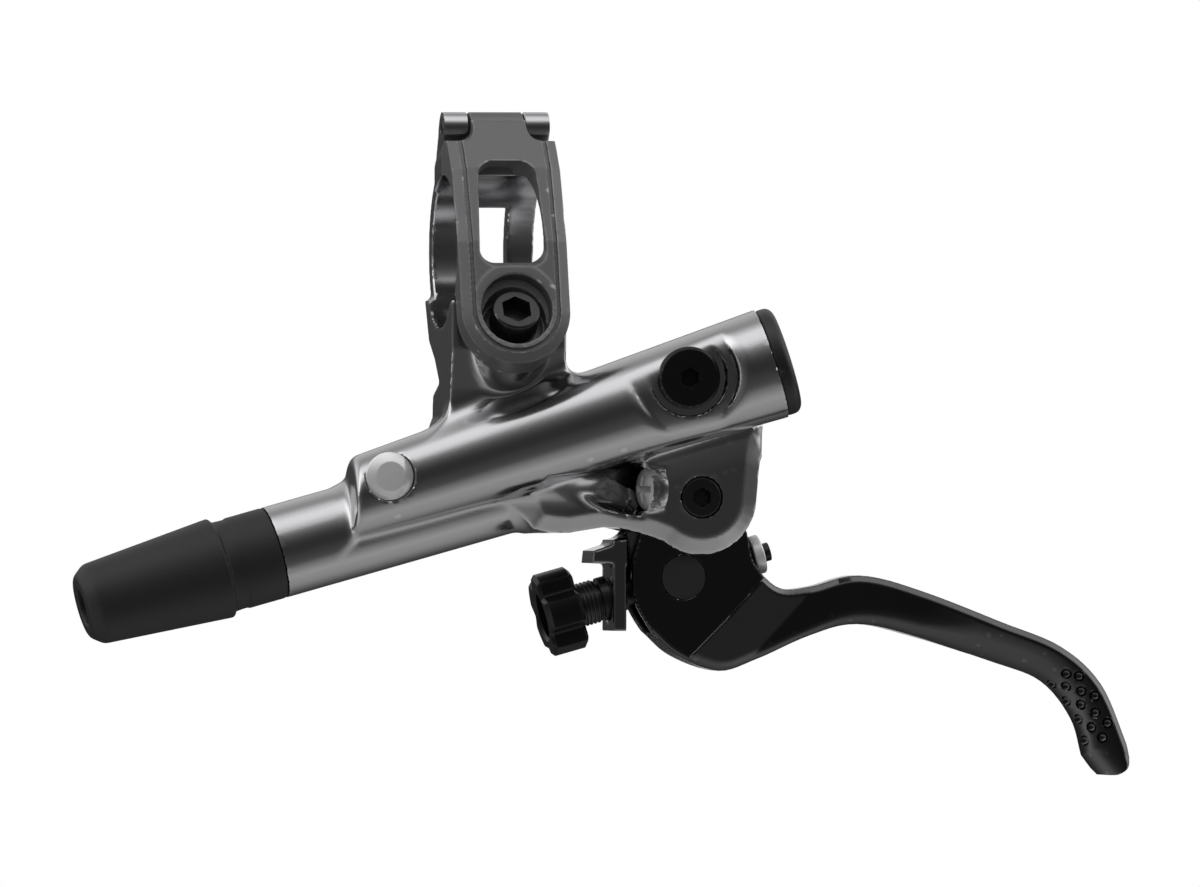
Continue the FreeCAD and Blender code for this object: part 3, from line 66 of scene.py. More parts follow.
# Places that the frame gives, in millimetres
PIVOT = in_mm(JOINTS["lever_pull"]["pos_m"])
BARREL = in_mm(JOINTS["barrel_swivel"]["pos_m"])
ALONG = -np.array(JOINTS["piston_push"]["axis"], float)
ALONG /= np.linalg.norm(ALONG)
ABOVE = np.array([-ALONG[2], 0.0, ALONG[0]])
FRONT = np.array([0.0, -1.0, 0.0])
ACROSS = np.array([1.0, 0.0, 0.0])
STROKE_OUT = np.array(JOINTS["stroke_turn"]["axis"], float)
STROKE_AT = in_mm(JOINTS["stroke_turn"]["pos_m"])
BAR_RADIUS = frame["record"]["mounts"][0]["dims"]["r_mm"]
NOSE_ARM = 8.95
DROP = -(PIVOT[2] - ALONG[2] / ALONG[0] * PIVOT[0]) - NOSE_ARM / ALONG[0]
AXIS_START = np.array([0.0, 0.0, -DROP])

# Clamp: the bolt pad leans back, and the bolt passes through its middle
PAD_LEAN = math.radians(16.0)
PAD_OUT = np.array([0.0, -math.cos(PAD_LEAN), math.sin(PAD_LEAN)])
PAD_UP = np.array([0.0, math.sin(PAD_LEAN), math.cos(PAD_LEAN)])
PAD_CENTRE = np.array([0.0, -15.3, -8.35])
BOLT_TILT = math.radians(38.0)
BOLT_AXIS = np.array([0.0, -math.cos(BOLT_TILT), math.sin(BOLT_TILT)])
BOLT_TOP = float(PAD_CENTRE @ BOLT_AXIS)
BOLT_FOOT = PAD_CENTRE - BOLT_AXIS * BOLT_TOP
BOLT_HEAD = 3.6
BOLT_SEAT = -0.8
WASHER = 0.6
PAD_THICKNESS = 4.6
BAND_HALF = 8.0
SADDLE_HALF = 8.5

# Hinge: its place across and up, its pin and bore, and where its knuckles lie along the bar
HINGE = (2.0, 18.0)
PIN_RADIUS = 1.1
HINGE_BORE = 1.15
KNUCKLE = 2.2
TONGUE_HALF = 3.9
LUG = (4.1, 7.8)

# Clevis and lever
EAR = 8.3
CLEVIS_HALF = 7.0
BLADE_REACH = 66.2
BLADE_HALF = 5.2
CHEEK_HALF = 4.5
CHEEK_GAP = 3.0
FORK_DEPTH = 5.05
AXLE_BORE = 2.25
BUSH_BORE = 3.0
BARREL_BORE = 3.32
CRADLE_HALF = 4.5

# Casting: the tube's ends along the cylinder, and the screws by their places along and above it
TUBE_ENDS = (-34.0, 36.6)
TUBE_RADIUS = 6.75
RESERVOIR_RADII = (5.6, 8.15)
PLUG_AT = (-16.6, 6.6)
PLUG_FRONT = 11.3
BLEED_AT = (28.5, 8.75)
BLEED_FRONT = 17.5
DISH_AT = (28.3, 8.75)
OPEN_FRONT = 26.0

# Knob's shaft: places along the screw's axis, measured from the barrel
WALL_AT = -9.4
KNOB_AT = -21.0
RIBS_AT = -15.3
DISC_AT = 11.3
SHAFT_RADIUS = 2.0

# Steepest angles that stay smooth, in degrees
CREASE = 32.0
KNOB_CREASE = 30.0


def on_cylinder(along, above=0.0, front=0.0):
    """Point given along the cylinder axis, above it and in front of it."""
    return AXIS_START + ALONG * along + ABOVE * above + FRONT * front


def on_screw(along, above=0.0):
    """Point on the reach screw's axis, measured from the barrel, or above it."""
    return BARREL + ALONG * along + ABOVE * above


def on_bolt(along):
    """Point on the clamp bolt's axis."""
    return BOLT_FOOT + BOLT_AXIS * along


def on_stroke(along):
    """Point on the free-stroke screw's axis."""
    return STROKE_AT + STROKE_OUT * along


def on_blade(points):
    """(x, z) points of the blade given in shares of its reach, from the barrel."""
    return [(BARREL[0] + across * BLADE_REACH, BARREL[2] + up * BLADE_REACH) for across, up in points]


RESERVOIR_START = on_cylinder(-26.0, 4.95, 4.6)
RESERVOIR_END = on_cylinder(41.6, 7.2, 11.6)
RESERVOIR_AXIS = (RESERVOIR_END - RESERVOIR_START) / np.linalg.norm(RESERVOIR_END - RESERVOIR_START)


# Fields: signed distances in millimetres, negative inside
def bar(x, y, z, start, end, radius, end_radius=None):
    """Round bar or cone between two points."""
    axis = np.asarray(end, float) - start
    length = np.linalg.norm(axis)
    axis = axis / length
    dx, dy, dz = x - start[0], y - start[1], z - start[2]
    along = dx * axis[0] + dy * axis[1] + dz * axis[2]
    off = np.sqrt(np.maximum((dx - along * axis[0]) ** 2 + (dy - along * axis[1]) ** 2
                             + (dz - along * axis[2]) ** 2, 1e-12))
    if end_radius is None:
        side = off - radius
    else:
        slope = (end_radius - radius) / length
        side = (off - radius - slope * np.clip(along, 0, length)) / math.sqrt(1 + slope ** 2)
    return np.maximum(side, np.abs(along - length / 2) - length / 2)


def seen_along(x, y, z, origin, axis):
    """Coordinates along an axis, to its side and up, from an origin."""
    axis = np.asarray(axis, float)
    up = np.array([0.0, 0.0, 1.0]) - axis * axis[2]
    up /= np.linalg.norm(up)
    side = np.cross(up, axis)
    dx, dy, dz = x - origin[0], y - origin[1], z - origin[2]
    return [dx * d[0] + dy * d[1] + dz * d[2] for d in (axis, side, up)]


def polygon(u, v, corners):
    """Distance to a closed polygon in a plane."""
    near = np.full(np.broadcast(u, v).shape, 1e9)
    inside = np.zeros(near.shape, bool)
    for index, (bu, bv) in enumerate(corners):
        au, av = corners[index - 1]
        eu, ev = bu - au, bv - av
        wu, wv = u - au, v - av
        part = np.clip((wu * eu + wv * ev) / (eu * eu + ev * ev), 0, 1)
        near = np.minimum(near, (wu - eu * part) ** 2 + (wv - ev * part) ** 2)
        straddles = (av > v) != (bv > v)
        if ev != 0:
            inside ^= straddles & (u < au + eu * (v - av) / ev)
    return np.where(inside, -1, 1) * np.sqrt(near)


def hexagon(u, v, across_flats):
    """Distance to a hexagon with corners up and down."""
    lean, rise = 0.5 * u, 0.866 * v
    reach = np.maximum(np.abs(u), np.abs(lean + rise))
    return np.maximum(reach, np.abs(lean - rise)) - across_flats / 2


def between(value, low, high):
    """Slab between two planes."""
    return np.maximum(low - value, value - high)


def joined(first, second, blend):
    """Union with a fillet."""
    part = np.clip(0.5 + 0.5 * (second - first) / blend, 0, 1)
    return second * (1 - part) + first * part - blend * part * (1 - part)


def overlap(first, second, blend=0.05):
    """Intersection with a rounded edge."""
    return -joined(-first, -second, blend)


def cut(first, second, blend=0.05):
    """First without second, with a rounded edge."""
    return -joined(-first, second, blend)


def crossings(values, low, step):
    """Spots where a field changes sign along the grid's lines, the four cells round each, its way."""
    inside = values < 0
    spots, cells, flips = [], [], []
    for axis in range(3):
        first = [slice(None)] * 3
        last = [slice(None)] * 3
        first[axis] = slice(0, -1)
        last[axis] = slice(1, None)
        crossing = np.argwhere(inside[tuple(first)] != inside[tuple(last)])
        ahead = crossing.copy()
        ahead[:, axis] += 1
        start = values[tuple(crossing.T)]
        end = values[tuple(ahead.T)]
        spot = low + crossing * step
        spot[:, axis] += step * start / (start - end)
        side_a, side_b = (axis + 1) % 3, (axis + 2) % 3
        around = []
        for da, db in ((-1, -1), (0, -1), (0, 0), (-1, 0)):
            cell = crossing.copy()
            cell[:, side_a] += da
            cell[:, side_b] += db
            around.append(np.ravel_multi_index(cell.T, values.shape))
        spots.append(spot)
        cells.append(np.stack(around, 1))
        flips.append(start >= 0)
    return np.concatenate(spots), np.concatenate(cells), np.concatenate(flips)


def slopes(field, spots):
    """Directions in which a field rises fastest."""
    tiny = 0.02
    slope = np.empty_like(spots)
    for axis in range(3):
        shift = np.zeros(3)
        shift[axis] = tiny
        slope[:, axis] = field(*(spots + shift).T) - field(*(spots - shift).T)
    return slope / np.maximum(np.linalg.norm(slope, axis=1, keepdims=True), 1e-9)


def contour(field, low, high, step):
    """Corners and quads of a field's zero surface, with sharp edges kept."""
    # room round the box, how firmly a corner holds its place and how far it may move
    room, hold, farthest = 1.5 * step, 0.06, 0.9 * step
    low = np.asarray(low, float) - room
    high = np.asarray(high, float) + room
    lines = [np.arange(low[i], high[i] + step, step) for i in range(3)]
    grid = np.meshgrid(*lines, indexing="ij", sparse=True)
    values = np.broadcast_to(field(*grid), tuple(len(line) for line in lines))
    spots, cells, flips = crossings(values, low, step)
    slope = slopes(field, spots)
    names, index = np.unique(cells.ravel(), return_inverse=True)
    index = index.reshape(-1)
    count = np.bincount(index).astype(float)
    spot4 = np.repeat(spots, 4, 0)
    slope4 = np.repeat(slope, 4, 0)
    centre = np.stack([np.bincount(index, spot4[:, i]) for i in range(3)], 1) / count[:, None]
    away = (slope4 * (spot4 - centre[index])).sum(1)
    right = np.stack([np.bincount(index, slope4[:, i] * away) for i in range(3)], 1)
    left = np.empty((len(names), 3, 3))
    for i in range(3):
        for j in range(3):
            left[:, i, j] = np.bincount(index, slope4[:, i] * slope4[:, j])
    left += np.eye(3) * hold * count[:, None, None]
    move = np.linalg.solve(left, right[:, :, None])[:, :, 0]
    reach = np.maximum(np.abs(move).max(1, keepdims=True) / farthest, 1)
    corners = centre + move / reach
    quads = index.reshape(-1, 4)
    quads[flips] = quads[flips][:, ::-1]
    return corners, quads


def smooth_line(points, parts=6):
    """Points of a smooth curve through a few (x, z) points."""
    points = [np.asarray(point, float) for point in points]
    points = [2 * points[0] - points[1]] + points + [2 * points[-1] - points[-2]]
    line = []
    for a, b, c, d in zip(points, points[1:], points[2:], points[3:]):
        for step in range(parts):
            t = step / parts
            line.append(tuple(0.5 * (2 * b + (c - a) * t + (2 * a - 5 * b + 4 * c - d) * t ** 2
                                     + (3 * b - a - 3 * c + d) * t ** 3)))
    return line + [tuple(points[-2])]


# Making meshes
def placed(name, data):
    """Object in the scene for a mesh, a lamp or the camera."""
    thing = bpy.data.objects.new(name, data)
    bpy.context.scene.collection.objects.link(thing)
    return thing


def new_piece(name, mesh, body, nodes, slot):
    """Piece that rides on a body, stands for nodes and takes a slot's finish."""
    piece = placed(name, mesh)
    mesh.materials.clear()
    mesh.materials.append(MATERIALS[slot])
    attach(piece, body)
    if nodes:
        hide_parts(*nodes)
    return piece


def smooth(mesh, crease=CREASE):
    """Smooth shading that leaves the steeper edges sharp."""
    mesh.shade_smooth()
    mesh.set_sharp_from_angle(angle=math.radians(crease))


def face_out(mesh):
    """Merge the corners that coincide and turn the faces outwards."""
    shell = bmesh.new()
    shell.from_mesh(mesh)
    bmesh.ops.remove_doubles(shell, verts=shell.verts, dist=1e-7)
    bmesh.ops.recalc_face_normals(shell, faces=shell.faces)
    shell.to_mesh(mesh)
    shell.free()


def mesh_from(name, corners, faces):
    """Smooth mesh from corners in millimetres."""
    mesh = bpy.data.meshes.new(name)
    mesh.from_pydata((np.asarray(corners) * MM).tolist(), [], [list(face) for face in faces])
    mesh.validate()
    smooth(mesh)
    return mesh


def field_mesh(name, field, low, high, step):
    """Mesh of a field's zero surface."""
    corners, quads = contour(field, low, high, step)
    return mesh_from(name, corners, quads.tolist())


def softened(profile, rounding):
    """Profile whose inner corners are rounded."""
    points = [np.asarray(point, float) for point in profile]
    line = [points[0]]
    for before, here, after in zip(points, points[1:], points[2:]):
        back, on = before - here, after - here
        reach = min(rounding, 0.45 * np.linalg.norm(back), 0.45 * np.linalg.norm(on))
        start = here + back / np.linalg.norm(back) * reach
        end = here + on / np.linalg.norm(on) * reach
        for t in (0.0, 0.33, 0.67, 1.0):
            line.append(start * (1 - t) ** 2 + here * 2 * t * (1 - t) + end * t ** 2)
    return line + [points[-1]]


def lathed(name, origin, axis, profile, rounding=0.15, turns=96, ring=False):
    """Turned mesh from (along, radius) points, with closed ends or as a ring."""
    line = softened(profile, rounding)
    if ring:
        line = softened(profile + profile[:2], rounding)[1:-1]
    axis = np.asarray(axis, float) / np.linalg.norm(axis)
    helper = (0.0, 1.0, 0.0) if abs(axis[1]) < 0.8 else (1.0, 0.0, 0.0)
    side = np.cross(axis, helper)
    side /= np.linalg.norm(side)
    other = np.cross(axis, side)
    corners, rows = [], []
    for along, radius in line:
        if radius < 1e-6:
            rows.append([len(corners)] * turns)
            corners.append(origin + axis * along)
            continue
        rows.append(list(range(len(corners), len(corners) + turns)))
        for turn in range(turns):
            angle = 2 * math.pi * turn / turns
            corners.append(origin + axis * along + side * (radius * math.cos(angle))
                           + other * (radius * math.sin(angle)))
    faces = []
    for first, last in zip(rows, rows[1:] + ([rows[0]] if ring else [])):
        for turn in range(turns):
            after = (turn + 1) % turns
            loop = [first[turn], first[after], last[after], last[turn]]
            faces.append(list(dict.fromkeys(loop)))
    mesh = mesh_from(name, corners, faces)
    face_out(mesh)
    smooth(mesh)
    return mesh


# Finishes
def new_socket(tree, name, kind, value=None, is_input=True):
    """Named input or output of a node group."""
    socket = tree.interface.new_socket(name=name, in_out="INPUT" if is_input else "OUTPUT",
                                       socket_type=kind)
    if value is not None:
        socket.default_value = value
    return socket


def math_node(tree, operation, *values):
    """Math node whose inputs are sockets or numbers, and its result."""
    node = tree.nodes.new("ShaderNodeMath")
    node.operation = operation
    for index, value in enumerate(values):
        if isinstance(value, (int, float)):
            node.inputs[index].default_value = value
        else:
            tree.links.new(value, node.inputs[index])
    return node.outputs[0]


def fill_curve(node, points, handle="AUTO"):
    """Set the points of a float curve."""
    curve = node.mapping.curves[0]
    while len(curve.points) < len(points):
        curve.points.new(0.5, 0.5)
    for point, place in zip(curve.points, points):
        point.location = place
        point.handle_type = handle
    node.mapping.update()


def grain_group():
    """Fine unevenness, scratches and a painted highlight on sharp edges: a colour, a roughness and a height."""
    tree = bpy.data.node_groups.new("surface_grain", "ShaderNodeTree")
    for name, value in (("Grain size", 4000.0), ("Roughness", 0.3), ("Roughness spread", 0.08),
                        ("Colour spread", 0.1), ("Edge", 0.3)):
        new_socket(tree, name, "NodeSocketFloat", value)
    new_socket(tree, "Colour", "NodeSocketColor", (0.5, 0.5, 0.5, 1))
    new_socket(tree, "Edge colour", "NodeSocketColor", (0.7, 0.7, 0.7, 1))
    for name, kind in (("Colour", "NodeSocketColor"), ("Roughness", "NodeSocketFloat"),
                       ("Height", "NodeSocketFloat")):
        new_socket(tree, name, kind, None, False)
    nodes, links = tree.nodes, tree.links
    given = nodes.new("NodeGroupInput").outputs
    put = nodes.new("NodeGroupOutput").inputs
    place = nodes.new("ShaderNodeTexCoord")
    fine = nodes.new("ShaderNodeTexNoise")
    fine.inputs["Detail"].default_value = 3.0
    broad = nodes.new("ShaderNodeTexNoise")
    broad.inputs["Scale"].default_value = 90.0
    broad.inputs["Detail"].default_value = 2.0
    links.new(place.outputs["Object"], fine.inputs["Vector"])
    links.new(place.outputs["Object"], broad.inputs["Vector"])
    links.new(given["Grain size"], fine.inputs["Scale"])
    links.new(math_node(tree, "MULTIPLY_ADD", broad.outputs["Fac"], given["Roughness spread"],
                        given["Roughness"]), put["Roughness"])
    darkest = 0.95
    shade = math_node(tree, "MULTIPLY_ADD", fine.outputs["Fac"], given["Colour spread"], darkest)
    tint = nodes.new("ShaderNodeVectorMath")
    tint.operation = "SCALE"
    links.new(given["Colour"], tint.inputs[0])
    links.new(shade, tint.inputs["Scale"])
    # painted highlight: sharp convex edges, found by pointiness, take a paler colour that stands in for the light
    # they catch
    corner = nodes.new("ShaderNodeNewGeometry")
    sharp = nodes.new("ShaderNodeMapRange")
    sharp.inputs["From Min"].default_value = 0.53
    sharp.inputs["From Max"].default_value = 0.62
    links.new(corner.outputs["Pointiness"], sharp.inputs["Value"])
    painted_edge_highlight = math_node(tree, "MULTIPLY", sharp.outputs[0], given["Edge"])
    mix = nodes.new("ShaderNodeMix")
    mix.data_type = "RGBA"
    # places of the colour sockets among the node's sockets for every kind of data
    plain, edge, mixed = 6, 7, 2
    links.new(painted_edge_highlight, mix.inputs["Factor"])
    links.new(tint.outputs[0], mix.inputs[plain])
    links.new(given["Edge colour"], mix.inputs[edge])
    links.new(mix.outputs[mixed], put["Colour"])
    links.new(fine.outputs["Fac"], put["Height"])
    return tree


# How pale the painted edge highlight is at least, and how much of the finish's own colour is added
EDGE_HIGHLIGHT_LEAST = 0.35
EDGE_HIGHLIGHT_SHARE = 0.8

FINISHES = {
    # slot: metallic, roughness, roughness spread, colour spread, grain size, bump, coat, painted edge highlight
    "gunmetal": (1.0, 0.17, 0.06, 0.08, 5200.0, 0.02, 0.0, 0.5),
    "satin_grey": (0.6, 0.46, 0.05, 0.30, 5200.0, 0.10, 0.0, 0.8),
    "dark_polished": (1.0, 0.15, 0.05, 0.05, 4000.0, 0.02, 0.0, 0.4),
    "blade_black": (1.0, 0.20, 0.05, 0.10, 4500.0, 0.02, 0.3, 0.15),
    "black_anodised": (0.5, 0.30, 0.06, 0.20, 4500.0, 0.04, 0.0, 0.1),
    "bright_aluminium": (0.6, 0.34, 0.06, 0.05, 4500.0, 0.03, 0.0, 0.2),
    "bright_steel": (0.5, 0.42, 0.06, 0.05, 4500.0, 0.02, 0.0, 0.2),
    "dark_steel": (0.9, 0.32, 0.08, 0.20, 4500.0, 0.04, 0.0, 0.2),
    "boot_rubber": (0.0, 0.55, 0.10, 0.30, 3200.0, 0.12, 0.0, 0.05),
    "black_moulding": (0.0, 0.42, 0.08, 0.25, 3500.0, 0.10, 0.0, 0.05),
    "olive_brass": (1.0, 0.30, 0.06, 0.08, 4500.0, 0.03, 0.0, 0.3),
}


def finish_material(slot, colour, grain):
    """Material of one slot, with the shared grain."""
    metallic, roughness, spread, tone, size, bump_strength, coat, edge = FINISHES[slot]
    material = bpy.data.materials.new(slot)
    material.use_nodes = True
    nodes, links = material.node_tree.nodes, material.node_tree.links
    shader = nodes["Principled BSDF"]
    shader.inputs["Metallic"].default_value = metallic
    shader.inputs["Coat Weight"].default_value = coat
    shader.inputs["Coat Roughness"].default_value = 0.06
    surface = nodes.new("ShaderNodeGroup")
    surface.node_tree = grain
    surface.inputs["Grain size"].default_value = size
    surface.inputs["Roughness"].default_value = roughness - spread / 2
    surface.inputs["Roughness spread"].default_value = spread
    surface.inputs["Colour"].default_value = (*colour, 1)
    surface.inputs["Colour spread"].default_value = tone
    surface.inputs["Edge"].default_value = edge
    # painted edge highlight: a paler copy of the finish's own colour
    painted_edge_highlight = [min(1.0, EDGE_HIGHLIGHT_LEAST + EDGE_HIGHLIGHT_SHARE * part) for part in colour]
    surface.inputs["Edge colour"].default_value = (*painted_edge_highlight, 1)
    bump = nodes.new("ShaderNodeBump")
    bump.inputs["Strength"].default_value = bump_strength
    bump.inputs["Distance"].default_value = 0.0002
    links.new(surface.outputs["Colour"], shader.inputs["Base Color"])
    links.new(surface.outputs["Roughness"], shader.inputs["Roughness"])
    links.new(surface.outputs["Height"], bump.inputs["Height"])
    links.new(bump.outputs["Normal"], shader.inputs["Normal"])
    return material


# Body casting
def around_pivot(degrees, radius=EAR):
    """Point round the pivot, in the lever's plane."""
    turn = math.radians(degrees)
    return (PIVOT[0] + math.cos(turn) * radius, PIVOT[2] + math.sin(turn) * radius)


def clevis_outline():
    """Outline of the clevis in the lever's plane."""
    lower_edge = ((-0.86, -0.68), (-1.14, -0.6), (-1.43, -0.53), (-1.72, -0.52), (-2.04, -0.57),
                  (-2.35, -0.62), (-2.65, -0.6))
    corners = [around_pivot(angle) for angle in range(0, -131, -10)]
    corners += [(PIVOT[0] + EAR * across, PIVOT[2] + EAR * up) for across, up in lower_edge]
    for point in (on_cylinder(2.6, -TUBE_RADIUS), on_cylinder(1.0), on_cylinder(38.5)):
        corners.append((point[0], point[2]))
    return corners + [(38.1, -25.2)]


def slot_outline():
    """Outline of the lever slot in the lever's plane."""
    inner, outer, mouth = 15.5, 36.0, 47.5
    corners = [on_cylinder(inner, 2.2), on_cylinder(outer - 3.0, 2.2), on_cylinder(outer, -1.3),
               on_cylinder(mouth, -1.3), on_cylinder(mouth, -30), BARREL + (-11.8, 0, -13.4),
               BARREL + (-11.8, 0, 4.0), BARREL + (-7.4, 0, 8.8), BARREL + (-5.7, 0, 12.0),
               on_cylinder(inner, -2.6)]
    return [(corner[0], corner[2]) for corner in corners]


def saddle_field(x, y, z):
    """Saddle under the bar."""
    half, top, foot = SADDLE_HALF, -6.9, -34.4
    front = [(-half, top), (half, top), (half, -21.3), (1.2 * half, -25.5), (1.7 * half, -29.2),
             (1.7 * half, foot), (-1.75 * half, foot), (-1.75 * half, -33.4), (-1.2 * half, -28.9),
             (-half, -24.1)]
    side = [(-9.6, top), (-9.6, -13.9), (-8.2, -20), (-6.7, foot), (6.4, foot), (6.4, -25.5),
            (5.5, -20.6), (1.0, -18.9), (4.1, -16.0), (8.6, -13.3), (11.9, top), (5.5, top)]
    return overlap(polygon(x, z, front), polygon(y, z, side), 0.8)


def from_hinge(y, z):
    """Distance from the hinge's axis."""
    return np.hypot(y - HINGE[0], z - HINGE[1])


def strap_field(x, y, z):
    """Rear strap with its window and hinge lugs."""
    inside, outside, half, foot = 10.0, 14.0, 7.5, -6.9
    distance = np.hypot(y, z)
    ring = overlap(np.maximum(distance - outside, inside - distance), np.abs(x) - half, 0.7)
    ring = np.maximum(ring, np.minimum(1.3 - y, np.maximum(z - foot, -y)))
    window = np.maximum(np.maximum(np.abs(x) - 3.5, between(z, -4.0, 6.4)), -y)
    ring = cut(ring, window, 0.5)
    front, top = 1.34, HINGE[1]
    lug = polygon(y, z, [(front, 8.9), (6.84, 8.9), (6.84, 12.6), (4.2, top), (front, top)])
    lug = joined(lug, from_hinge(y, z) - KNUCKLE, 1.0)
    return joined(ring, overlap(lug, between(np.abs(x), *LUG), 0.3), 1.0)


def reservoir_field(x, y, z):
    """Tapered reservoir with an upright wall at its hose end."""
    cone = bar(x, y, z, RESERVOIR_START - ABOVE * 0.5, RESERVOIR_END, *RESERVOIR_RADII)
    wall = -22.6
    return overlap(cone, wall - x, 1.2)


def ears_field(x, y, z):
    """Clevis ears with a broad bevel along their edge."""
    sides = polygon(x, z, clevis_outline())
    cheeks = np.abs(y) - CLEVIS_HALF
    bevel = (sides + 2.4) * 0.47 + cheeks * 0.883
    return overlap(np.maximum(sides, cheeks), bevel, 0.1)


def casting_field(x, y, z):
    """Cast body: its forms joined with fillets, then machined."""
    tube = bar(x, y, z, on_cylinder(TUBE_ENDS[0]), on_cylinder(TUBE_ENDS[1]), TUBE_RADIUS)
    crease = np.interp(x, (-24.0, -21.5, 14.0, 22.0), (2.6, 0.9, 0.9, 1.8))
    stroke_cup = bar(x, y, z, on_stroke(-2.4), on_stroke(0.3), 3.6)
    pad_post = bar(x, y, z, on_bolt(-9.0), on_bolt(BOLT_SEAT), 5.4)
    shape = joined(tube, reservoir_field(x, y, z), crease)
    for form, fillet in ((ears_field(x, y, z), 2.6), (stroke_cup, 0.5), (saddle_field(x, y, z), 3.2),
                         (strap_field(x, y, z), 1.2), (pad_post, 1.2)):
        shape = joined(shape, form, fillet)
    for cutter, rounding in casting_cutters(x, y, z):
        shape = cut(shape, cutter, rounding)
    return shape


def front_hole(x, y, z, place, start, end, radius):
    """Round hole towards the viewer, between two distances in front of a place on the cylinder."""
    return bar(x, y, z, on_cylinder(*place, start), on_cylinder(*place, end), radius)


def casting_cutters(x, y, z):
    """Recesses, bores and slot of the cast body, each with the rounding of its edge."""
    fine = 0.25
    # the free-stroke screw's groove, then the dish and the pocket of the bleed screw
    yield bar(x, y, z, on_stroke(0.4), on_stroke(15.5), 3.8, 1.5), 1.0
    yield front_hole(x, y, z, DISH_AT, 16.9, OPEN_FRONT, 6.9), 2.4
    yield front_hole(x, y, z, BLEED_AT, 16.1, OPEN_FRONT, 5.5), 0.5
    # the handlebar, the clamp bolt's recess and hole, the hinge pin and the lever's slot
    yield np.hypot(y, z) - BAR_RADIUS, fine
    yield bar(x, y, z, on_bolt(BOLT_SEAT), on_bolt(20), 6.6), fine
    yield bar(x, y, z, on_bolt(-20), on_bolt(10), 2.55), fine
    yield np.maximum(from_hinge(y, z) - HINGE_BORE, np.abs(x) - 20), fine
    yield np.maximum(polygon(x, z, slot_outline()), np.abs(y) - 4.8), fine
    # the hose's port, the piston's bore and the cap's pocket
    yield bar(x, y, z, on_cylinder(-40), on_cylinder(-28), 3.8), fine
    yield bar(x, y, z, on_cylinder(-25), on_cylinder(16), 4.5), fine
    cap_pocket = [RESERVOIR_END + RESERVOIR_AXIS * along for along in (-4.5, 8)]
    yield bar(x, y, z, *cap_pocket, 6.4), fine
    # the holes and seats of the plug, the bleed screw, the axle and the free-stroke screw
    yield front_hole(x, y, z, PLUG_AT, 7, 20, 2.15), fine
    yield front_hole(x, y, z, PLUG_AT, PLUG_FRONT - 1.1, 20, 3.6), fine
    yield front_hole(x, y, z, BLEED_AT, 15.1, 24, 3.6), fine
    yield np.hypot(x - PIVOT[0], z - PIVOT[2]) - AXLE_BORE + 0 * y, fine
    yield bar(x, y, z, PIVOT + FRONT * 5.7, PIVOT + FRONT * 15, 3.05), fine
    yield bar(x, y, z, on_stroke(-1.7), on_stroke(3), 3.2), fine


# Clamp band
def band_field(x, y, z):
    """Clamp band before its window and bores: bent face, hinge tongue and round bolt pad."""
    up = (y - PAD_CENTRE[1]) * PAD_UP[1] + (z - PAD_CENTRE[2]) * PAD_UP[2]
    out = (y - PAD_CENTRE[1]) * PAD_OUT[1] + (z - PAD_CENTRE[2]) * PAD_OUT[2]
    knee = PAD_CENTRE + PAD_UP * 10.25
    heel = PAD_CENTRE - PAD_OUT * PAD_THICKNESS
    brow = (-7.4, 12.2)
    profile = [(0.9, 5.55), (0.9, 14.4), (-0.6, 16.0), (-0.6, 18.9), (-1.2, 18.9), brow,
               tuple(knee[1:]), tuple(PAD_CENTRE[1:]), tuple(heel[1:]), (-9.98, -6.5), (-5.0, -6.5)]
    side = np.where(up > 0, np.abs(x) - BAND_HALF, np.hypot(x, np.minimum(up, 0)) - BAND_HALF)
    shoulders = joined(np.maximum(side, z - 16.0), np.abs(x) - TONGUE_HALF, 2.4)
    shoulders = np.where(up > 0, shoulders, side)
    pad = between(out, -PAD_THICKNESS, 0.0)
    plate = np.maximum(np.where(up > 0, polygon(y, z, profile), pad), shoulders)
    # the outer face: the pad, the upright above the knee and the slope above the brow
    upright = -0.9035 * (y - knee[1]) + 0.4286 * (z - knee[2])
    slope = -0.734 * (y - brow[0]) + 0.679 * (z - brow[1])
    face = np.maximum(np.maximum(out, upright), slope)
    ear = np.maximum(bar(x, y, z, on_bolt(-0.4), on_bolt(11.6), 6.2), out)
    bevel = (side + 1.5) * 0.42 + face * 0.907
    shape = overlap(joined(plate, ear, 0.5), bevel, 0.12)
    edge_groove = np.maximum(np.abs(side + 1.8) - 0.26, -0.4 - face)
    shape = cut(shape, edge_groove, 0.12)
    tongue = polygon(y, z, [(-1.2, 15.0), (0.5, 15.0), (2.4, 16.2), (2.0, 20.2), (-1.2, 18.9)])
    knuckle = np.minimum(tongue, from_hinge(y, z) - KNUCKLE)
    return joined(shape, overlap(knuckle, np.abs(x) - TONGUE_HALF, 0.2), 0.4)


def band_window(x, y, z):
    """Rounded window that narrows towards the bar."""
    narrower = 0.14 * (y + 12.5)
    corner = 2.3
    across = np.abs(x) - (4.9 - narrower) + corner
    high = np.abs(z - 6.0) - (7.9 - narrower) + corner
    inside = np.minimum(np.maximum(across, high), 0)
    return np.maximum(np.hypot(np.maximum(across, 0), np.maximum(high, 0)) + inside - corner, y)


def clamp_field(x, y, z):
    """Clamp band with its window, bores and recess."""
    shape = cut(band_field(x, y, z), band_window(x, y, z), 0.3)
    shape = cut(shape, bar(x, y, z, PAD_CENTRE - PAD_OUT * 2.6, PAD_CENTRE + PAD_OUT * 8, 5.2), 0.3)
    seat = BOLT_TOP - BOLT_HEAD - WASHER
    for cutter in (np.hypot(y, z) - BAR_RADIUS, bar(x, y, z, on_bolt(seat), on_bolt(30), 4.7),
                   bar(x, y, z, on_bolt(-20), on_bolt(20), 2.7),
                   from_hinge(y, z) - HINGE_BORE):
        shape = cut(shape, cutter, 0.15)
    return shape


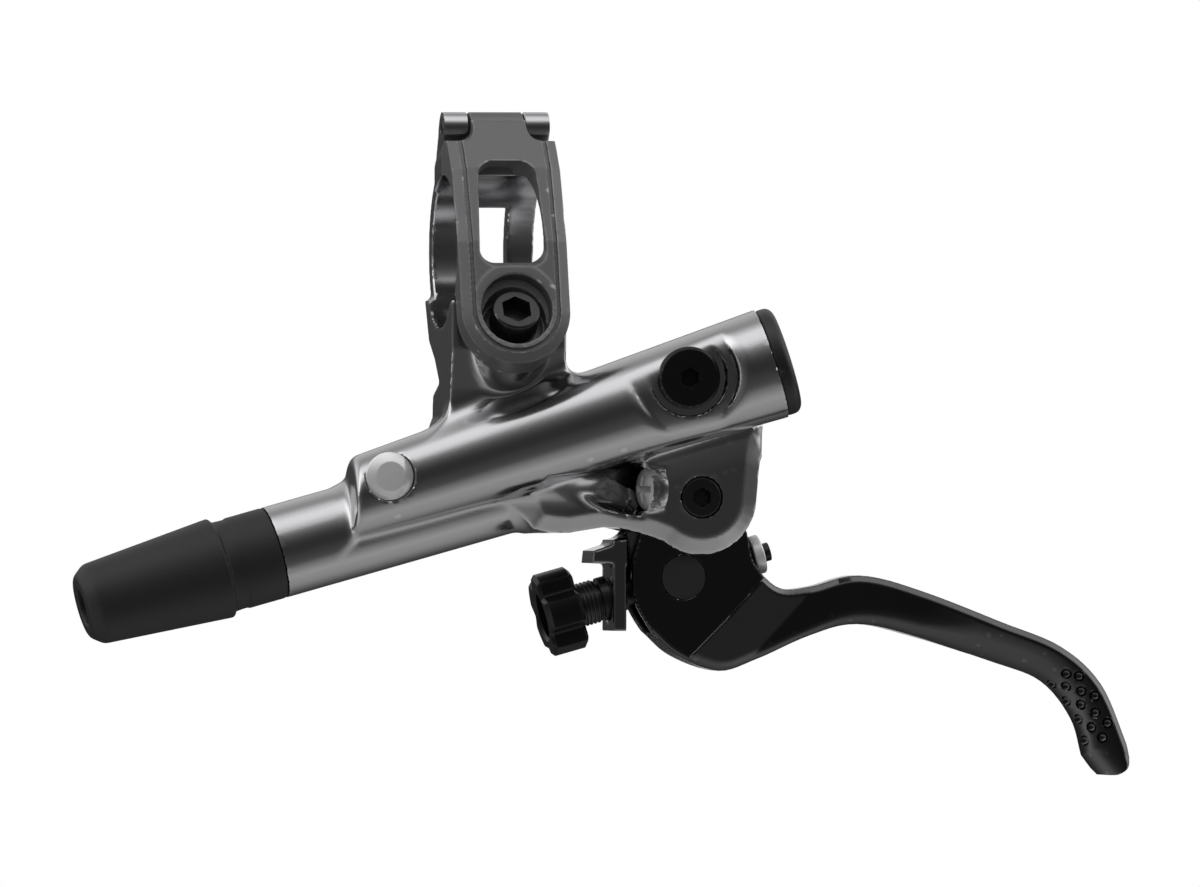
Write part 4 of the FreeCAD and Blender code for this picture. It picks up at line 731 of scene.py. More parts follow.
# Link and blade
def link_field(x, y, z):
    """Link between the ears, with its cradle wall and horn."""
    lead = math.radians(9.0) - math.atan2(ALONG[2], ALONG[0])
    nose = PIVOT + np.array([math.sin(lead), 0, math.cos(lead)]) * NOSE_ARM
    hub_x, hub_z = PIVOT[0], PIVOT[2]
    web = polygon(x, z, [(nose[0] - 1.2, nose[2]), (nose[0] + 1.9, nose[2]), (hub_x + 4.8, hub_z),
                         (hub_x - 4.8, hub_z + 1.6), (nose[0] - 1.3, nose[2] - 2.7)])
    wall_x, _, wall_z = on_screw(WALL_AT)
    low, high = wall_x - 1.3, wall_x + 0.65
    tail = polygon(x, z, [(hub_x - 4.8, hub_z + 1.0), (hub_x + 1.0, hub_z - 5.0),
                          (hub_x - 3.4, hub_z - 7.2), (high + 0.6, wall_z + 3.4),
                          (low, wall_z + 3.4), (low, wall_z + 7.0)])
    from_pivot = np.hypot(x - hub_x, z - hub_z)
    flat = np.minimum(from_pivot - 6.0, np.hypot(x - nose[0], z - nose[2]) - 2.0)
    middle = overlap(joined(np.minimum(flat, web), tail, 0.6), np.abs(y) - 2.5, 0.4)
    plate = polygon(x, z, [(low, wall_z + 8.0), (high, wall_z + 8.0), (high, wall_z - 5.2),
                           (low, wall_z - 5.2)])
    horn = polygon(x, z, [(low - 3.1, wall_z + 4.6), (low - 2.9, wall_z + 6.4), (high, wall_z + 8.0),
                          (high, wall_z + 4.4)])
    cradle = overlap(joined(plate, horn, 0.6), np.abs(y) - CRADLE_HALF, 0.5)
    shape = joined(middle, cradle, 0.8)
    for cutter in (from_pivot - BUSH_BORE + 0 * y,
                   bar(x, y, z, on_screw(WALL_AT - 12), on_screw(WALL_AT + 3), 2.75),
                   bar(x, y, z, on_screw(WALL_AT - 12), on_screw(WALL_AT - 1), 3.5)):
        shape = cut(shape, cutter, 0.2)
    return shape


BLADE_TOP = on_blade([(0.142, 0.097), (0.159, 0.029), (0.216, -0.023), (0.292, -0.020), (0.397, 0.004),
                      (0.529, -0.029), (0.708, -0.097), (0.846, -0.153), (0.935, -0.234),
                      (0.988, -0.352), (1.0, -0.396)])
BLADE_TIP = on_blade([(0.996, -0.418), (0.975, -0.434), (0.941, -0.434)])
BLADE_FOOT = on_blade([(0.899, -0.393), (0.875, -0.311), (0.810, -0.231), (0.708, -0.190),
                       (0.529, -0.131), (0.397, -0.103), (0.290, -0.128), (0.175, -0.178),
                       (0.086, -0.205), (-0.009, -0.171), (-0.068, -0.121)])
BLADE_CHEEK = on_blade([(-0.110, -0.045), (-0.113, 0.026), (-0.095, 0.097)])


def blade_outline():
    """Closed outline of the blade in the lever's plane."""
    hub = 5.7
    past_half = 0.2
    lug = [(PIVOT[0] - hub * math.cos(turn), PIVOT[2] + hub * math.sin(turn))
           for turn in np.linspace(-past_half, math.pi + past_half, 19)]
    line = smooth_line(BLADE_TOP)[:-1] + smooth_line([BLADE_TOP[-1]] + BLADE_TIP)[:-1]
    line += smooth_line([BLADE_TIP[-1]] + BLADE_FOOT + BLADE_CHEEK)
    return line + lug


def blade_field(x, y, z):
    """Blade: forked cheeks and a full finger part with a bevelled upper edge."""
    left, low, top, right = -10.0, -120.0, 10.0, 130.0
    sides = polygon(x, z, blade_outline())
    cheeks = on_blade([(0.193, 0.41), (0.193, 0.018), (0.095, -0.088), (-0.041, -0.224)])
    cheeks = polygon(x, z, [(left, cheeks[0][1])] + cheeks + [(left, cheeks[-1][1])])
    above = -polygon(x, z, [(20.0, top)] + smooth_line(BLADE_TOP)
                     + [(BLADE_TOP[-1][0] + 4, -90.0), (right, -90.0), (right, top)])
    below = -polygon(x, z, [(10.0, low), (10.0, -50.0)] + smooth_line(BLADE_FOOT[::-1])
                     + [(90.0, -78.0), (90.0, low)])
    thin = np.clip((x - 45.0) / 47.0, 0, 1) ** 2
    twist = np.interp(x, (50.0, 58.0), (0.36, 0.0))
    lean = np.interp(x, (62.0, 70.0, 88.0), (0.0, 0.34, 0.25))
    half = BLADE_HALF - thin - twist * np.clip(cheeks, 0, 7) - lean * np.clip(-above - 1.2, 0, 5)
    flank = np.abs(y) - half
    bevel = (above + 0.9) * 0.6 + flank * 0.8
    shape = overlap(np.maximum(sides, flank), bevel, 0.15)
    full = np.interp(x, (45.0, 75.0), (1.6, 5.0))
    shape = np.maximum(shape, overlap(below, flank, full))
    shape = cut(shape, np.maximum(cheeks, CHEEK_HALF - np.abs(y)), 0.4)
    floor = [on_screw(16.0, -0.65 * FORK_DEPTH), on_screw(13.0, -FORK_DEPTH),
             on_screw(-5.4, -FORK_DEPTH)]
    fork = [(left, -17.0), (floor[0][0], -17.0)] + [(point[0], point[2]) for point in floor]
    fork += [(floor[2][0], floor[2][2] - 9.0), (left, floor[2][2] - 9.0)]
    shape = cut(shape, np.maximum(polygon(x, z, fork), np.abs(y) - CHEEK_GAP), 0.4)
    shape = cut(shape, np.hypot(x - BARREL[0], z - BARREL[2]) - BARREL_BORE + 0 * y, 0.1)
    return cut(shape, np.hypot(x - PIVOT[0], z - PIVOT[2]) - AXLE_BORE + 0 * y, 0.2)


def dimple_places(pitch):
    """Centres of the grip dimples on the blade's rounded inner edge, in staggered lines."""
    lines, first_inset, spacing, samples = 4, 0.8, 1.15, 400
    edge = smooth_line(BLADE_FOOT[:3][::-1], 24)
    lengths = np.concatenate([[0], np.cumsum([math.dist(a, b) for a, b in zip(edge, edge[1:])])])
    depth = np.linspace(0.0, BLADE_HALF + 0.5, samples)
    places = []
    for line in range(lines):
        inset = first_inset + spacing * line
        for along in np.arange(1.0 + 0.5 * pitch * (line % 2), lengths[-1] - 1.2, pitch):
            at = min(int(np.searchsorted(lengths, along)), len(edge) - 2)
            (ax, az), (bx, bz) = edge[at], edge[at + 1]
            run = math.dist(edge[at], edge[at + 1])
            spot_x = ax - (bz - az) / run * inset
            spot_z = az + (bx - ax) / run * inset
            inside = blade_field(np.full(samples, spot_x), -depth, np.full(samples, spot_z)) < 0
            if inside.any():
                places.append((spot_x, -depth[np.argwhere(inside).max()], spot_z))
    return places


# Geometry Nodes
def node_tree(name, sizes):
    """Empty geometry tree with named number inputs and a material input."""
    tree = bpy.data.node_groups.new(name, "GeometryNodeTree")
    new_socket(tree, "Geometry", "NodeSocketGeometry")
    for title, value in sizes:
        kind = "NodeSocketInt" if isinstance(value, int) else "NodeSocketFloat"
        new_socket(tree, title, kind, value)
    new_socket(tree, "Finish", "NodeSocketMaterial")
    new_socket(tree, "Geometry", "NodeSocketGeometry", None, False)
    given = tree.nodes.new("NodeGroupInput").outputs
    return tree, given


def finish_tree(tree, given, geometry):
    """Realize the instances, set the finish and put the result out."""
    real = tree.nodes.new("GeometryNodeRealizeInstances")
    finish = tree.nodes.new("GeometryNodeSetMaterial")
    put = tree.nodes.new("NodeGroupOutput")
    tree.links.new(geometry, real.inputs[0])
    tree.links.new(real.outputs[0], finish.inputs["Geometry"])
    tree.links.new(given["Finish"], finish.inputs["Material"])
    tree.links.new(finish.outputs[0], put.inputs[0])


def baked(name, tree, values, slot, place):
    """Plain mesh of a geometry tree, moved to its place."""
    holder = placed(name, bpy.data.meshes.new(name))
    modifier = holder.modifiers.new(name, "NODES")
    modifier.node_group = tree
    sockets = {item.name: item.identifier for item in tree.interface.items_tree
               if item.in_out == "INPUT"}
    for title, value in values.items():
        modifier[sockets[title]] = value
    modifier[sockets["Finish"]] = MATERIALS[slot]
    bpy.context.view_layer.update()
    evaluated = holder.evaluated_get(bpy.context.evaluated_depsgraph_get())
    mesh = bpy.data.meshes.new_from_object(evaluated)
    holder.modifiers.remove(modifier)
    bpy.data.objects.remove(holder)
    mesh.transform(place)
    smooth(mesh, KNOB_CREASE)
    return mesh


def lobed_tree():
    """Turned form whose outer rim has scooped valleys between its lobes."""
    sizes = [("Length", 0.0054), ("Radius", 0.0061), ("Valley depth", 0.0014), ("Lobes", 5)]
    tree, given = node_tree("lobed_knob", sizes)
    nodes, links = tree.nodes, tree.links
    # the profile, corner by corner, as shares of the length and of the radius
    stops = [(0.55, 0.34), (0.55, 0.56), (0.08, 0.56), (0.0, 0.62), (0.0, 0.91), (0.09, 1.0),
             (0.91, 1.0), (1.0, 0.91), (1.0, 0.34)]
    steps_round, steps_between = 240, 6
    grid = nodes.new("GeometryNodeMeshGrid")
    grid.inputs["Size X"].default_value = 2 * math.pi
    grid.inputs["Size Y"].default_value = 1.0
    grid.inputs["Vertices X"].default_value = steps_round + 1
    grid.inputs["Vertices Y"].default_value = (len(stops) - 1) * steps_between + 1
    place = nodes.new("GeometryNodeInputPosition")
    split = nodes.new("ShaderNodeSeparateXYZ")
    links.new(place.outputs[0], split.inputs[0])
    turn = split.outputs[0]
    way = math_node(tree, "ADD", split.outputs[1], 0.5)
    along_share = nodes.new("ShaderNodeFloatCurve")
    radius_share = nodes.new("ShaderNodeFloatCurve")
    for node, shares in zip((along_share, radius_share), zip(*stops)):
        fill_curve(node, [(index / (len(stops) - 1), share) for index, share in enumerate(shares)],
                   "VECTOR")
        links.new(way, node.inputs["Value"])
    radius = math_node(tree, "MULTIPLY", radius_share.outputs[0], given["Radius"])
    along = math_node(tree, "MULTIPLY", along_share.outputs[0], given["Length"])
    wave = math_node(tree, "COSINE", math_node(tree, "MULTIPLY", turn, given["Lobes"]))
    valley = math_node(tree, "POWER", math_node(tree, "MAXIMUM", wave, 0.0), 1.25)
    outer = nodes.new("ShaderNodeMapRange")
    outer.inputs["From Min"].default_value = 0.62
    outer.inputs["From Max"].default_value = 0.88
    links.new(radius_share.outputs[0], outer.inputs["Value"])
    scoop = math_node(tree, "MULTIPLY", math_node(tree, "MULTIPLY", valley, outer.outputs[0]),
                      given["Valley depth"])
    lobed = math_node(tree, "SUBTRACT", radius, scoop)
    join = nodes.new("ShaderNodeCombineXYZ")
    links.new(along, join.inputs[0])
    links.new(math_node(tree, "MULTIPLY", lobed, math_node(tree, "COSINE", turn)), join.inputs[1])
    links.new(math_node(tree, "MULTIPLY", lobed, math_node(tree, "SINE", turn)), join.inputs[2])
    moved = nodes.new("GeometryNodeSetPosition")
    links.new(grid.outputs["Mesh"], moved.inputs["Geometry"])
    links.new(join.outputs[0], moved.inputs["Position"])
    merged = nodes.new("GeometryNodeMergeByDistance")
    merged.inputs["Distance"].default_value = 1e-6
    links.new(moved.outputs[0], merged.inputs["Geometry"])
    finish_tree(tree, given, merged.outputs[0])
    return tree


def ribbed_tree():
    """Round ribs in a row along X."""
    sizes = [("Count", 5), ("Pitch", 0.0006), ("Radius", 0.003), ("Thickness", 0.0002)]
    tree, given = node_tree("ribs_in_a_row", sizes)
    nodes, links = tree.nodes, tree.links
    row = nodes.new("GeometryNodeMeshLine")
    step = nodes.new("ShaderNodeCombineXYZ")
    links.new(given["Pitch"], step.inputs[0])
    links.new(given["Count"], row.inputs["Count"])
    links.new(step.outputs[0], row.inputs["Offset"])
    path = nodes.new("GeometryNodeCurvePrimitiveCircle")
    path.inputs["Resolution"].default_value = 48
    links.new(given["Radius"], path.inputs["Radius"])
    section = nodes.new("GeometryNodeCurvePrimitiveCircle")
    section.inputs["Resolution"].default_value = 10
    links.new(given["Thickness"], section.inputs["Radius"])
    rib = nodes.new("GeometryNodeCurveToMesh")
    links.new(path.outputs["Curve"], rib.inputs["Curve"])
    links.new(section.outputs["Curve"], rib.inputs["Profile Curve"])
    copies = nodes.new("GeometryNodeInstanceOnPoints")
    copies.inputs["Rotation"].default_value = (0, math.pi / 2, 0)
    links.new(row.outputs["Mesh"], copies.inputs["Points"])
    links.new(rib.outputs["Mesh"], copies.inputs["Instance"])
    finish_tree(tree, given, copies.outputs[0])
    return tree


def facing(origin, axis):
    """Matrix whose X axis runs along a direction, from a place in millimetres."""
    turn = Vector(axis).to_track_quat("X", "Z").to_matrix().to_4x4()
    return Matrix.Translation(Vector(np.asarray(origin, float) * MM)) @ turn


# Settings
COLOURS = {
    "gunmetal": (0.52, 0.52, 0.53), "satin_grey": (0.135, 0.135, 0.138),
    "dark_polished": (0.33, 0.33, 0.34), "blade_black": (0.085, 0.085, 0.087),
    "black_anodised": (0.007, 0.007, 0.0075), "bright_aluminium": (0.8, 0.8, 0.81),
    "bright_steel": (0.66, 0.66, 0.67), "dark_steel": (0.05, 0.05, 0.052),
    "boot_rubber": (0.010, 0.010, 0.0105), "black_moulding": (0.008, 0.008, 0.0085),
    "olive_brass": (0.75, 0.58, 0.28),
}


def colour_setting(slot):
    """Colour property of one slot."""
    return FloatVectorProperty(name=slot.replace("_", " ").capitalize(), subtype="COLOR", size=3,
                               min=0.0, max=1.0, default=COLOURS[slot],
                               description=f"Colour of the {slot.replace('_', ' ')} finish")


class LeverColours(bpy.types.PropertyGroup):
    """Colours of the finishes."""
    gunmetal: colour_setting("gunmetal")
    satin_grey: colour_setting("satin_grey")
    dark_polished: colour_setting("dark_polished")
    blade_black: colour_setting("blade_black")
    black_anodised: colour_setting("black_anodised")
    bright_aluminium: colour_setting("bright_aluminium")
    bright_steel: colour_setting("bright_steel")
    dark_steel: colour_setting("dark_steel")
    boot_rubber: colour_setting("boot_rubber")
    black_moulding: colour_setting("black_moulding")
    olive_brass: colour_setting("olive_brass")


class LeverSizes(bpy.types.PropertyGroup):
    """Sizes that can be changed."""
    mesh_step: FloatProperty(name="Mesh step", unit="LENGTH", default=0.0004,
                             description="Spacing of the casting's mesh")
    fine_step: FloatProperty(name="Fine mesh step", unit="LENGTH", default=0.00026,
                             description="Spacing of the clamp's and lever's meshes")
    screw_step: FloatProperty(name="Screw mesh step", unit="LENGTH", default=0.00014,
                              description="Spacing of the screws' meshes")
    dimple_pitch: FloatProperty(name="Dimple pitch", unit="LENGTH", default=0.0031,
                                description="Grip dimples along the blade")
    dimple_radius: FloatProperty(name="Dimple radius", unit="LENGTH", default=0.0008,
                                 description="Radius of the balls that the grip dimples follow")
    knob_lobes: IntProperty(name="Knob lobes", default=5, min=3, max=9,
                            description="Lobes round the reach knob")
    valley_depth: FloatProperty(name="Valley depth", unit="LENGTH", default=0.0014,
                                description="Depth of the valleys between the knob's lobes")
    rib_count: IntProperty(name="Shaft ribs", default=5, min=1, max=12,
                           description="Ribs on the knob's shaft")


# Operators
class LEVER_OT_finishes(bpy.types.Operator):
    """Make the finishes and put them on the carried-over nodes"""
    bl_idname = "lever.finishes"
    bl_label = "Finishes"

    def execute(self, context):
        grain = grain_group()
        colours = context.scene.lever_colours
        for slot in FINISHES:
            MATERIALS[slot] = finish_material(slot, tuple(getattr(colours, slot)), grain)
        for part in frame["record"]["subparts"]:
            node = frame["nodes"][part["node"]]
            for place in node.material_slots:
                place.link = "OBJECT"
                place.material = MATERIALS[part["material_slot"]]
        return {"FINISHED"}


class LEVER_OT_casting(bpy.types.Operator):
    """Make the cast body with its tube, reservoir, clevis, saddle and strap"""
    bl_idname = "lever.casting"
    bl_label = "Cast body"

    def execute(self, context):
        step = context.scene.lever_sizes.mesh_step / MM
        mesh = field_mesh("cast_body", casting_field, (-38, -20, -52), (46, 15, 21), step)
        new_piece("cast_body", mesh, "housing", ["master_cylinder_body"], "gunmetal")
        return {"FINISHED"}


class LEVER_OT_clamp(bpy.types.Operator):
    """Make the clamp band with its window and bolt pad"""
    bl_idname = "lever.clamp"
    bl_label = "Clamp band"

    def execute(self, context):
        step = context.scene.lever_sizes.fine_step / MM
        mesh = field_mesh("clamp_cover", clamp_field, (-9, -20, -18), (9, 5, 21), step)
        new_piece("clamp_cover", mesh, "housing", ["clamp_band"], "satin_grey")
        return {"FINISHED"}


class LEVER_OT_link(bpy.types.Operator):
    """Make the link between the ears"""
    bl_idname = "lever.link"
    bl_label = "Link"

    def execute(self, context):
        step = context.scene.lever_sizes.fine_step / MM
        mesh = field_mesh("cradle_link", link_field, (12, -5, -56), (37, 5, -24), step)
        new_piece("cradle_link", mesh, "link", ["lever_link"], "dark_polished")
        return {"FINISHED"}


class LEVER_OT_blade(bpy.types.Operator):
    """Make the finger blade with its cheeks and grip dimples"""
    bl_idname = "lever.blade"
    bl_label = "Blade"

    def execute(self, context):
        sizes = context.scene.lever_sizes
        places = dimple_places(sizes.dimple_pitch / MM)
        radius = sizes.dimple_radius / MM
        proud = 0.2 * radius

        def dimpled(x, y, z):
            shape = blade_field(x, y, z)
            for px, py, pz in places:
                ball = np.sqrt((x - px) ** 2 + (y - py + proud) ** 2 + (z - pz) ** 2) - radius
                shape = cut(shape, ball, 0.06)
            return shape

        mesh = field_mesh("finger_blade", dimpled, (18, -5.4, -77), (94, 5.4, -29),
                          sizes.fine_step / MM)
        new_piece("finger_blade", mesh, "blade", ["lever_blade"], "blade_black")
        return {"FINISHED"}


def socket_screw(name, origin, axis, shape, step, body, node, slot):
    """Screw whose outline, in distances along its axis and off it, is a function."""
    reach, proud, deep = 6.0, 0.6, 16.5
    ends = [np.asarray(origin) + np.asarray(axis) * along for along in (-deep, proud)]

    def field(x, y, z):
        return shape(*seen_along(x, y, z, origin, axis))

    mesh = field_mesh(name, field, np.minimum(*ends) - reach, np.maximum(*ends) + reach, step)
    return new_piece(name, mesh, body, [node], slot)


def chamfered_head(along, off, radius, thickness, chamfer, rounding=0.1):
    """Round head whose face has a chamfer round its edge."""
    head = np.maximum(off - radius, between(along, -thickness, 0))
    return overlap(head, (off - radius + along + chamfer) * 0.707, rounding)


def with_socket(screw, along, side, above, flats, depth, rounding=0.1):
    """Screw with a hexagon socket in its face."""
    return cut(screw, np.maximum(hexagon(side, above, flats), -depth - along), rounding)


def clamp_bolt_shape(along, side, above):
    """Clamp bolt, measured inwards from its head's face."""
    off = np.hypot(side, above)
    head = chamfered_head(along, off, 3.5, BOLT_HEAD, 0.25)
    shank = np.maximum(off - 2.5, between(along, -BOLT_HEAD - 10.2, -1))
    return with_socket(np.minimum(head, shank), along, side, above, 4.0, 0.75 * BOLT_HEAD, 0.12)


def bleed_screw_shape(along, side, above):
    """Bleed screw, measured inwards from its head's face."""
    off = np.hypot(side, above)
    head = chamfered_head(along, off, 4.5, 1.4, 0.4, 0.12)
    shank = np.maximum(off - 2.5, between(along, -3.2, -1))
    return with_socket(np.minimum(head, shank), along, side, above, 2.5, 2.0)


def axle_shape(along, side, above):
    """Pivot axle, measured inwards from its head's face."""
    off = np.hypot(side, above)
    head = chamfered_head(along, off, 2.95, 1.3, 0.25)
    shank = np.maximum(off - 2.2, between(along, -15.7, -1))
    clip_groove = np.maximum(between(along, -14.8, -14.2), 1.7 - off)
    shank = cut(shank, clip_groove, 0.05)
    return with_socket(np.minimum(head, shank), along, side, above, 2.5, 1.9)


def stroke_screw_shape(along, side, above):
    """Domed screw with a cross recess, measured inwards from its face."""
    dome_radius, slit_half, slit_reach = 6.2, 0.4, 1.8
    off = np.hypot(side, above)
    dome = np.hypot(off, along + dome_radius) - dome_radius
    head = overlap(np.maximum(off - 3.1, between(along, -1.7, 0.2)), dome, 0.15)
    stub = np.maximum(off - 1.6, between(along, -2.3, -1))
    cross = np.minimum(np.maximum(np.abs(side) - slit_half, np.abs(above) - slit_reach),
                       np.maximum(np.abs(above) - slit_half, np.abs(side) - slit_reach))
    return cut(np.minimum(head, stub), np.maximum(cross, -1.1 - along), 0.25)


class LEVER_OT_screws(bpy.types.Operator):
    """Make the clamp bolt, bleed screw, pivot axle and free-stroke screw"""
    bl_idname = "lever.screws"
    bl_label = "Socket screws"

    def execute(self, context):
        step = context.scene.lever_sizes.screw_step / MM
        socket_screw("pad_bolt", on_bolt(BOLT_TOP), BOLT_AXIS, clamp_bolt_shape, step,
                     "housing", "clamp_bolt", "dark_steel")
        socket_screw("vent_screw", on_cylinder(*BLEED_AT, BLEED_FRONT), FRONT, bleed_screw_shape, step,
                     "housing", "bleed_screw", "black_anodised")
        socket_screw("ear_axle", PIVOT + FRONT * CLEVIS_HALF, FRONT, axle_shape, step,
                     "housing", "pivot_axle", "dark_steel")
        socket_screw("stroke_dial", STROKE_AT, STROKE_OUT, stroke_screw_shape, step,
                     "stroke_screw", "free_stroke_screw", "bright_steel")
        return {"FINISHED"}


def turned_piece(name, form, body, node, slot):
    """Turned piece that stands for one node."""
    return new_piece(name, lathed(name, *form), body, [node], slot)


class LEVER_OT_turned(bpy.types.Operator):
    """Make the boot, cap, plug, hinge pin, washer, disc and knob shaft"""
    bl_idname = "lever.turned"
    bl_label = "Turned pieces"

    def execute(self, context):
        boot = [(0, 2.6), (0, 4.55), (1.8, 5.95), (21.1, 7.4), (21.4, 6.7), (22.4, 6.62), (23.4, 6.6),
                (23.7, TUBE_RADIUS), (29.4, TUBE_RADIUS), (29.4, 4.5), (20.1, 4.5), (20.1, 2.6)]
        turned_piece("end_boot", (on_cylinder(-63.4), ALONG, boot, 0.6, 128, True),
                     "housing", "hose_boot", "boot_rubber")
        cap = [(0, 0), (0, 5.6), (0.05, 7.95), (1.7, 7.9), (2.4, 7.1), (2.4, 0)]
        turned_piece("end_cap", (RESERVOIR_END, RESERVOIR_AXIS, cap, 0.5, 128),
                     "housing", "reservoir_end_cap", "black_moulding")
        plug = [(0, 0), (0, 2.1), (-0.77, 3.5), (-1.1, 3.5), (-1.1, 2.1), (-3.7, 2.1), (-3.7, 0)]
        turned_piece("port_plug", (on_cylinder(*PLUG_AT, PLUG_FRONT), FRONT, plug, 0.12),
                     "housing", "passage_plug", "bright_aluminium")
        chamfer, length = 0.2, 2 * LUG[1]
        pin = [(0, 0), (0, PIN_RADIUS - chamfer), (chamfer, PIN_RADIUS), (length - chamfer, PIN_RADIUS),
               (length, PIN_RADIUS - chamfer), (length, 0)]
        turned_piece("band_pin", (np.array([-LUG[1], *HINGE]), ACROSS, pin, 0.1, 64),
                     "housing", "clamp_hinge_pin", "dark_steel")
        washer = [(0, 2.6), (0, 4.3), (WASHER, 4.3), (WASHER, 2.6)]
        seat = on_bolt(BOLT_TOP - BOLT_HEAD - WASHER)
        turned_piece("bolt_washer", (seat, BOLT_AXIS, washer, 0.12, 96, True),
                     "housing", "clamp_washer", "dark_steel")
        disc = [(0, 2.05), (0, 2.7), (0.15, 2.85), (1.35, 2.85), (1.5, 2.7), (1.5, 2.05)]
        turned_piece("end_disc", (on_screw(DISC_AT), ALONG, disc, 0.08, 96, True),
                     "knob", "screw_stop_disc", "bright_aluminium")
        shaft = [(-17.8, 0), (-17.8, SHAFT_RADIUS), (-15.6, SHAFT_RADIUS), (-15.6, 3.0), (-12.4, 3.0),
                 (-12.4, 2.5), (-12.0, 2.5), (-12.0, 3.2), (-10.6, 3.2), (-10.6, SHAFT_RADIUS),
                 (12.9, SHAFT_RADIUS), (12.9, 1.35), (14.0, 1.35), (14.0, 0)]
        turned_piece("reach_shaft", (BARREL, ALONG, shaft, 0.12, 96),
                     "knob", "reach_screw", "dark_steel")
        return {"FINISHED"}


class LEVER_OT_knob(bpy.types.Operator):
    """Make the lobed reach knob and the ribs of its shaft"""
    bl_idname = "lever.knob"
    bl_label = "Reach knob"

    def execute(self, context):
        sizes = context.scene.lever_sizes
        values = {"Lobes": sizes.knob_lobes, "Valley depth": sizes.valley_depth}
        knob = baked("lobed_knob", lobed_tree(), values, "black_anodised",
                     facing(on_screw(KNOB_AT), ALONG))
        face_out(knob)
        new_piece("lobed_knob", knob, "knob", ["reach_knob"], "black_anodised")
        ribs = baked("shaft_ribs", ribbed_tree(), {"Count": sizes.rib_count}, "dark_steel",
                     facing(on_screw(RIBS_AT), ALONG))
        new_piece("shaft_ribs", ribs, "knob", [], "dark_steel")
        return {"FINISHED"}


class LEVER_OT_stage(bpy.types.Operator):
    """Make the backdrop, the lights and the camera"""
    bl_idname = "lever.stage"
    bl_label = "Stage"

    def execute(self, context):
        make_camera()
        make_lamps()
        make_backdrop()
        make_world()
        context.scene.view_settings.view_transform = "Standard"
        return {"FINISHED"}


# Stage: what the camera looks at, how far off it stands, how wide it sees and from what side
AIM = Vector((0.0152, 0.0, -0.0278))
CAMERA_DISTANCE = 4.4
VIEW_WIDTH = 0.1739
VIEW_TURN = math.radians(11)
SENSOR = 36

# Lamps: name, place, width, height, power and whether reflections show it
LAMPS = (("key", (-0.25, -0.45, 0.95), 1.5, 0.6, 0.5, True),
         ("low", (0.2, -0.5, -0.75), 1.2, 0.5, 0.12, True),
         ("fill", (-0.25, -1.0, 0.3), 0.8, 0.8, 4.5, False))

# Backdrop: its sides, foot and top, and how far behind the object it stands
BACKDROP_SIDES = (0.03, 0.47)
BACKDROP_HEIGHTS = (-0.2, 0.15)
BACKDROP_BEHIND = 1.2


def aimed(thing):
    """Turn a lamp or the camera to the object."""
    thing.rotation_euler = (AIM - thing.location).to_track_quat("-Z", "Y").to_euler()


def make_camera():
    """Camera at the photograph's angle, far off with a long lens."""
    data = bpy.data.cameras.new("camera")
    data.lens = SENSOR * CAMERA_DISTANCE / VIEW_WIDTH
    data.sensor_width = SENSOR
    data.clip_end = 30
    camera = placed("camera", data)
    camera.location = AIM + Vector((-math.sin(VIEW_TURN), -math.cos(VIEW_TURN), 0)) * CAMERA_DISTANCE
    aimed(camera)
    bpy.context.scene.camera = camera


def make_lamps():
    """Soft lamps that the camera doesn't see."""
    for name, place, width, height, power, mirrored in LAMPS:
        light = bpy.data.lights.new(name, "AREA")
        light.shape = "RECTANGLE"
        light.size = width
        light.size_y = height
        light.energy = power
        lamp = placed(name, light)
        lamp.location = place
        lamp.visible_glossy = mirrored
        lamp.visible_camera = False
        aimed(lamp)


def stage_white():
    """White that the camera and reflections see at full strength, and other light as plain paint."""
    white = bpy.data.materials.new("stage_white")
    white.use_nodes = True
    tree = white.node_tree
    nodes, links = tree.nodes, tree.links
    shader = nodes["Principled BSDF"]
    shader.inputs["Base Color"].default_value = (0.8, 0.8, 0.8, 1)
    shader.inputs["Roughness"].default_value = 0.9
    path = nodes.new("ShaderNodeLightPath")
    seen = math_node(tree, "MAXIMUM", path.outputs["Is Camera Ray"], path.outputs["Is Transmission Ray"])
    seen = math_node(tree, "MAXIMUM", seen, path.outputs["Is Glossy Ray"])
    glow = nodes.new("ShaderNodeEmission")
    mix = nodes.new("ShaderNodeMixShader")
    links.new(seen, mix.inputs["Fac"])
    links.new(shader.outputs[0], mix.inputs[1])
    links.new(glow.outputs[0], mix.inputs[2])
    links.new(mix.outputs[0], nodes["Material Output"].inputs["Surface"])
    return white


def make_backdrop():
    """White sheet behind the object."""
    (left, right), (low, top) = BACKDROP_SIDES, BACKDROP_HEIGHTS
    mesh = bpy.data.meshes.new("backdrop")
    mesh.from_pydata([(left, BACKDROP_BEHIND, low), (right, BACKDROP_BEHIND, low),
                      (right, BACKDROP_BEHIND, top), (left, BACKDROP_BEHIND, top)], [], [(0, 1, 2, 3)])
    mesh.materials.append(stage_white())
    placed("backdrop", mesh)


# Brightness round the bar's direction: degrees from the viewer's side, up over the top and back
STUDIO = [(-180, 0.06), (-150, 0.07), (-126, 0.20), (-96, 0.42), (-73, 0.46), (-53, 0.30), (-34, 0.11),
          (-17, 0.07), (0, 0.045), (17, 0.065), (34, 0.19), (53, 0.8), (73, 1.15), (96, 0.72),
          (109, 0.45), (126, 0.6), (150, 0.7), (165, 0.25), (180, 0.06)]
# How much brighter the studio gets towards both ends of the bar's direction
SIDE_GAIN = 0.9


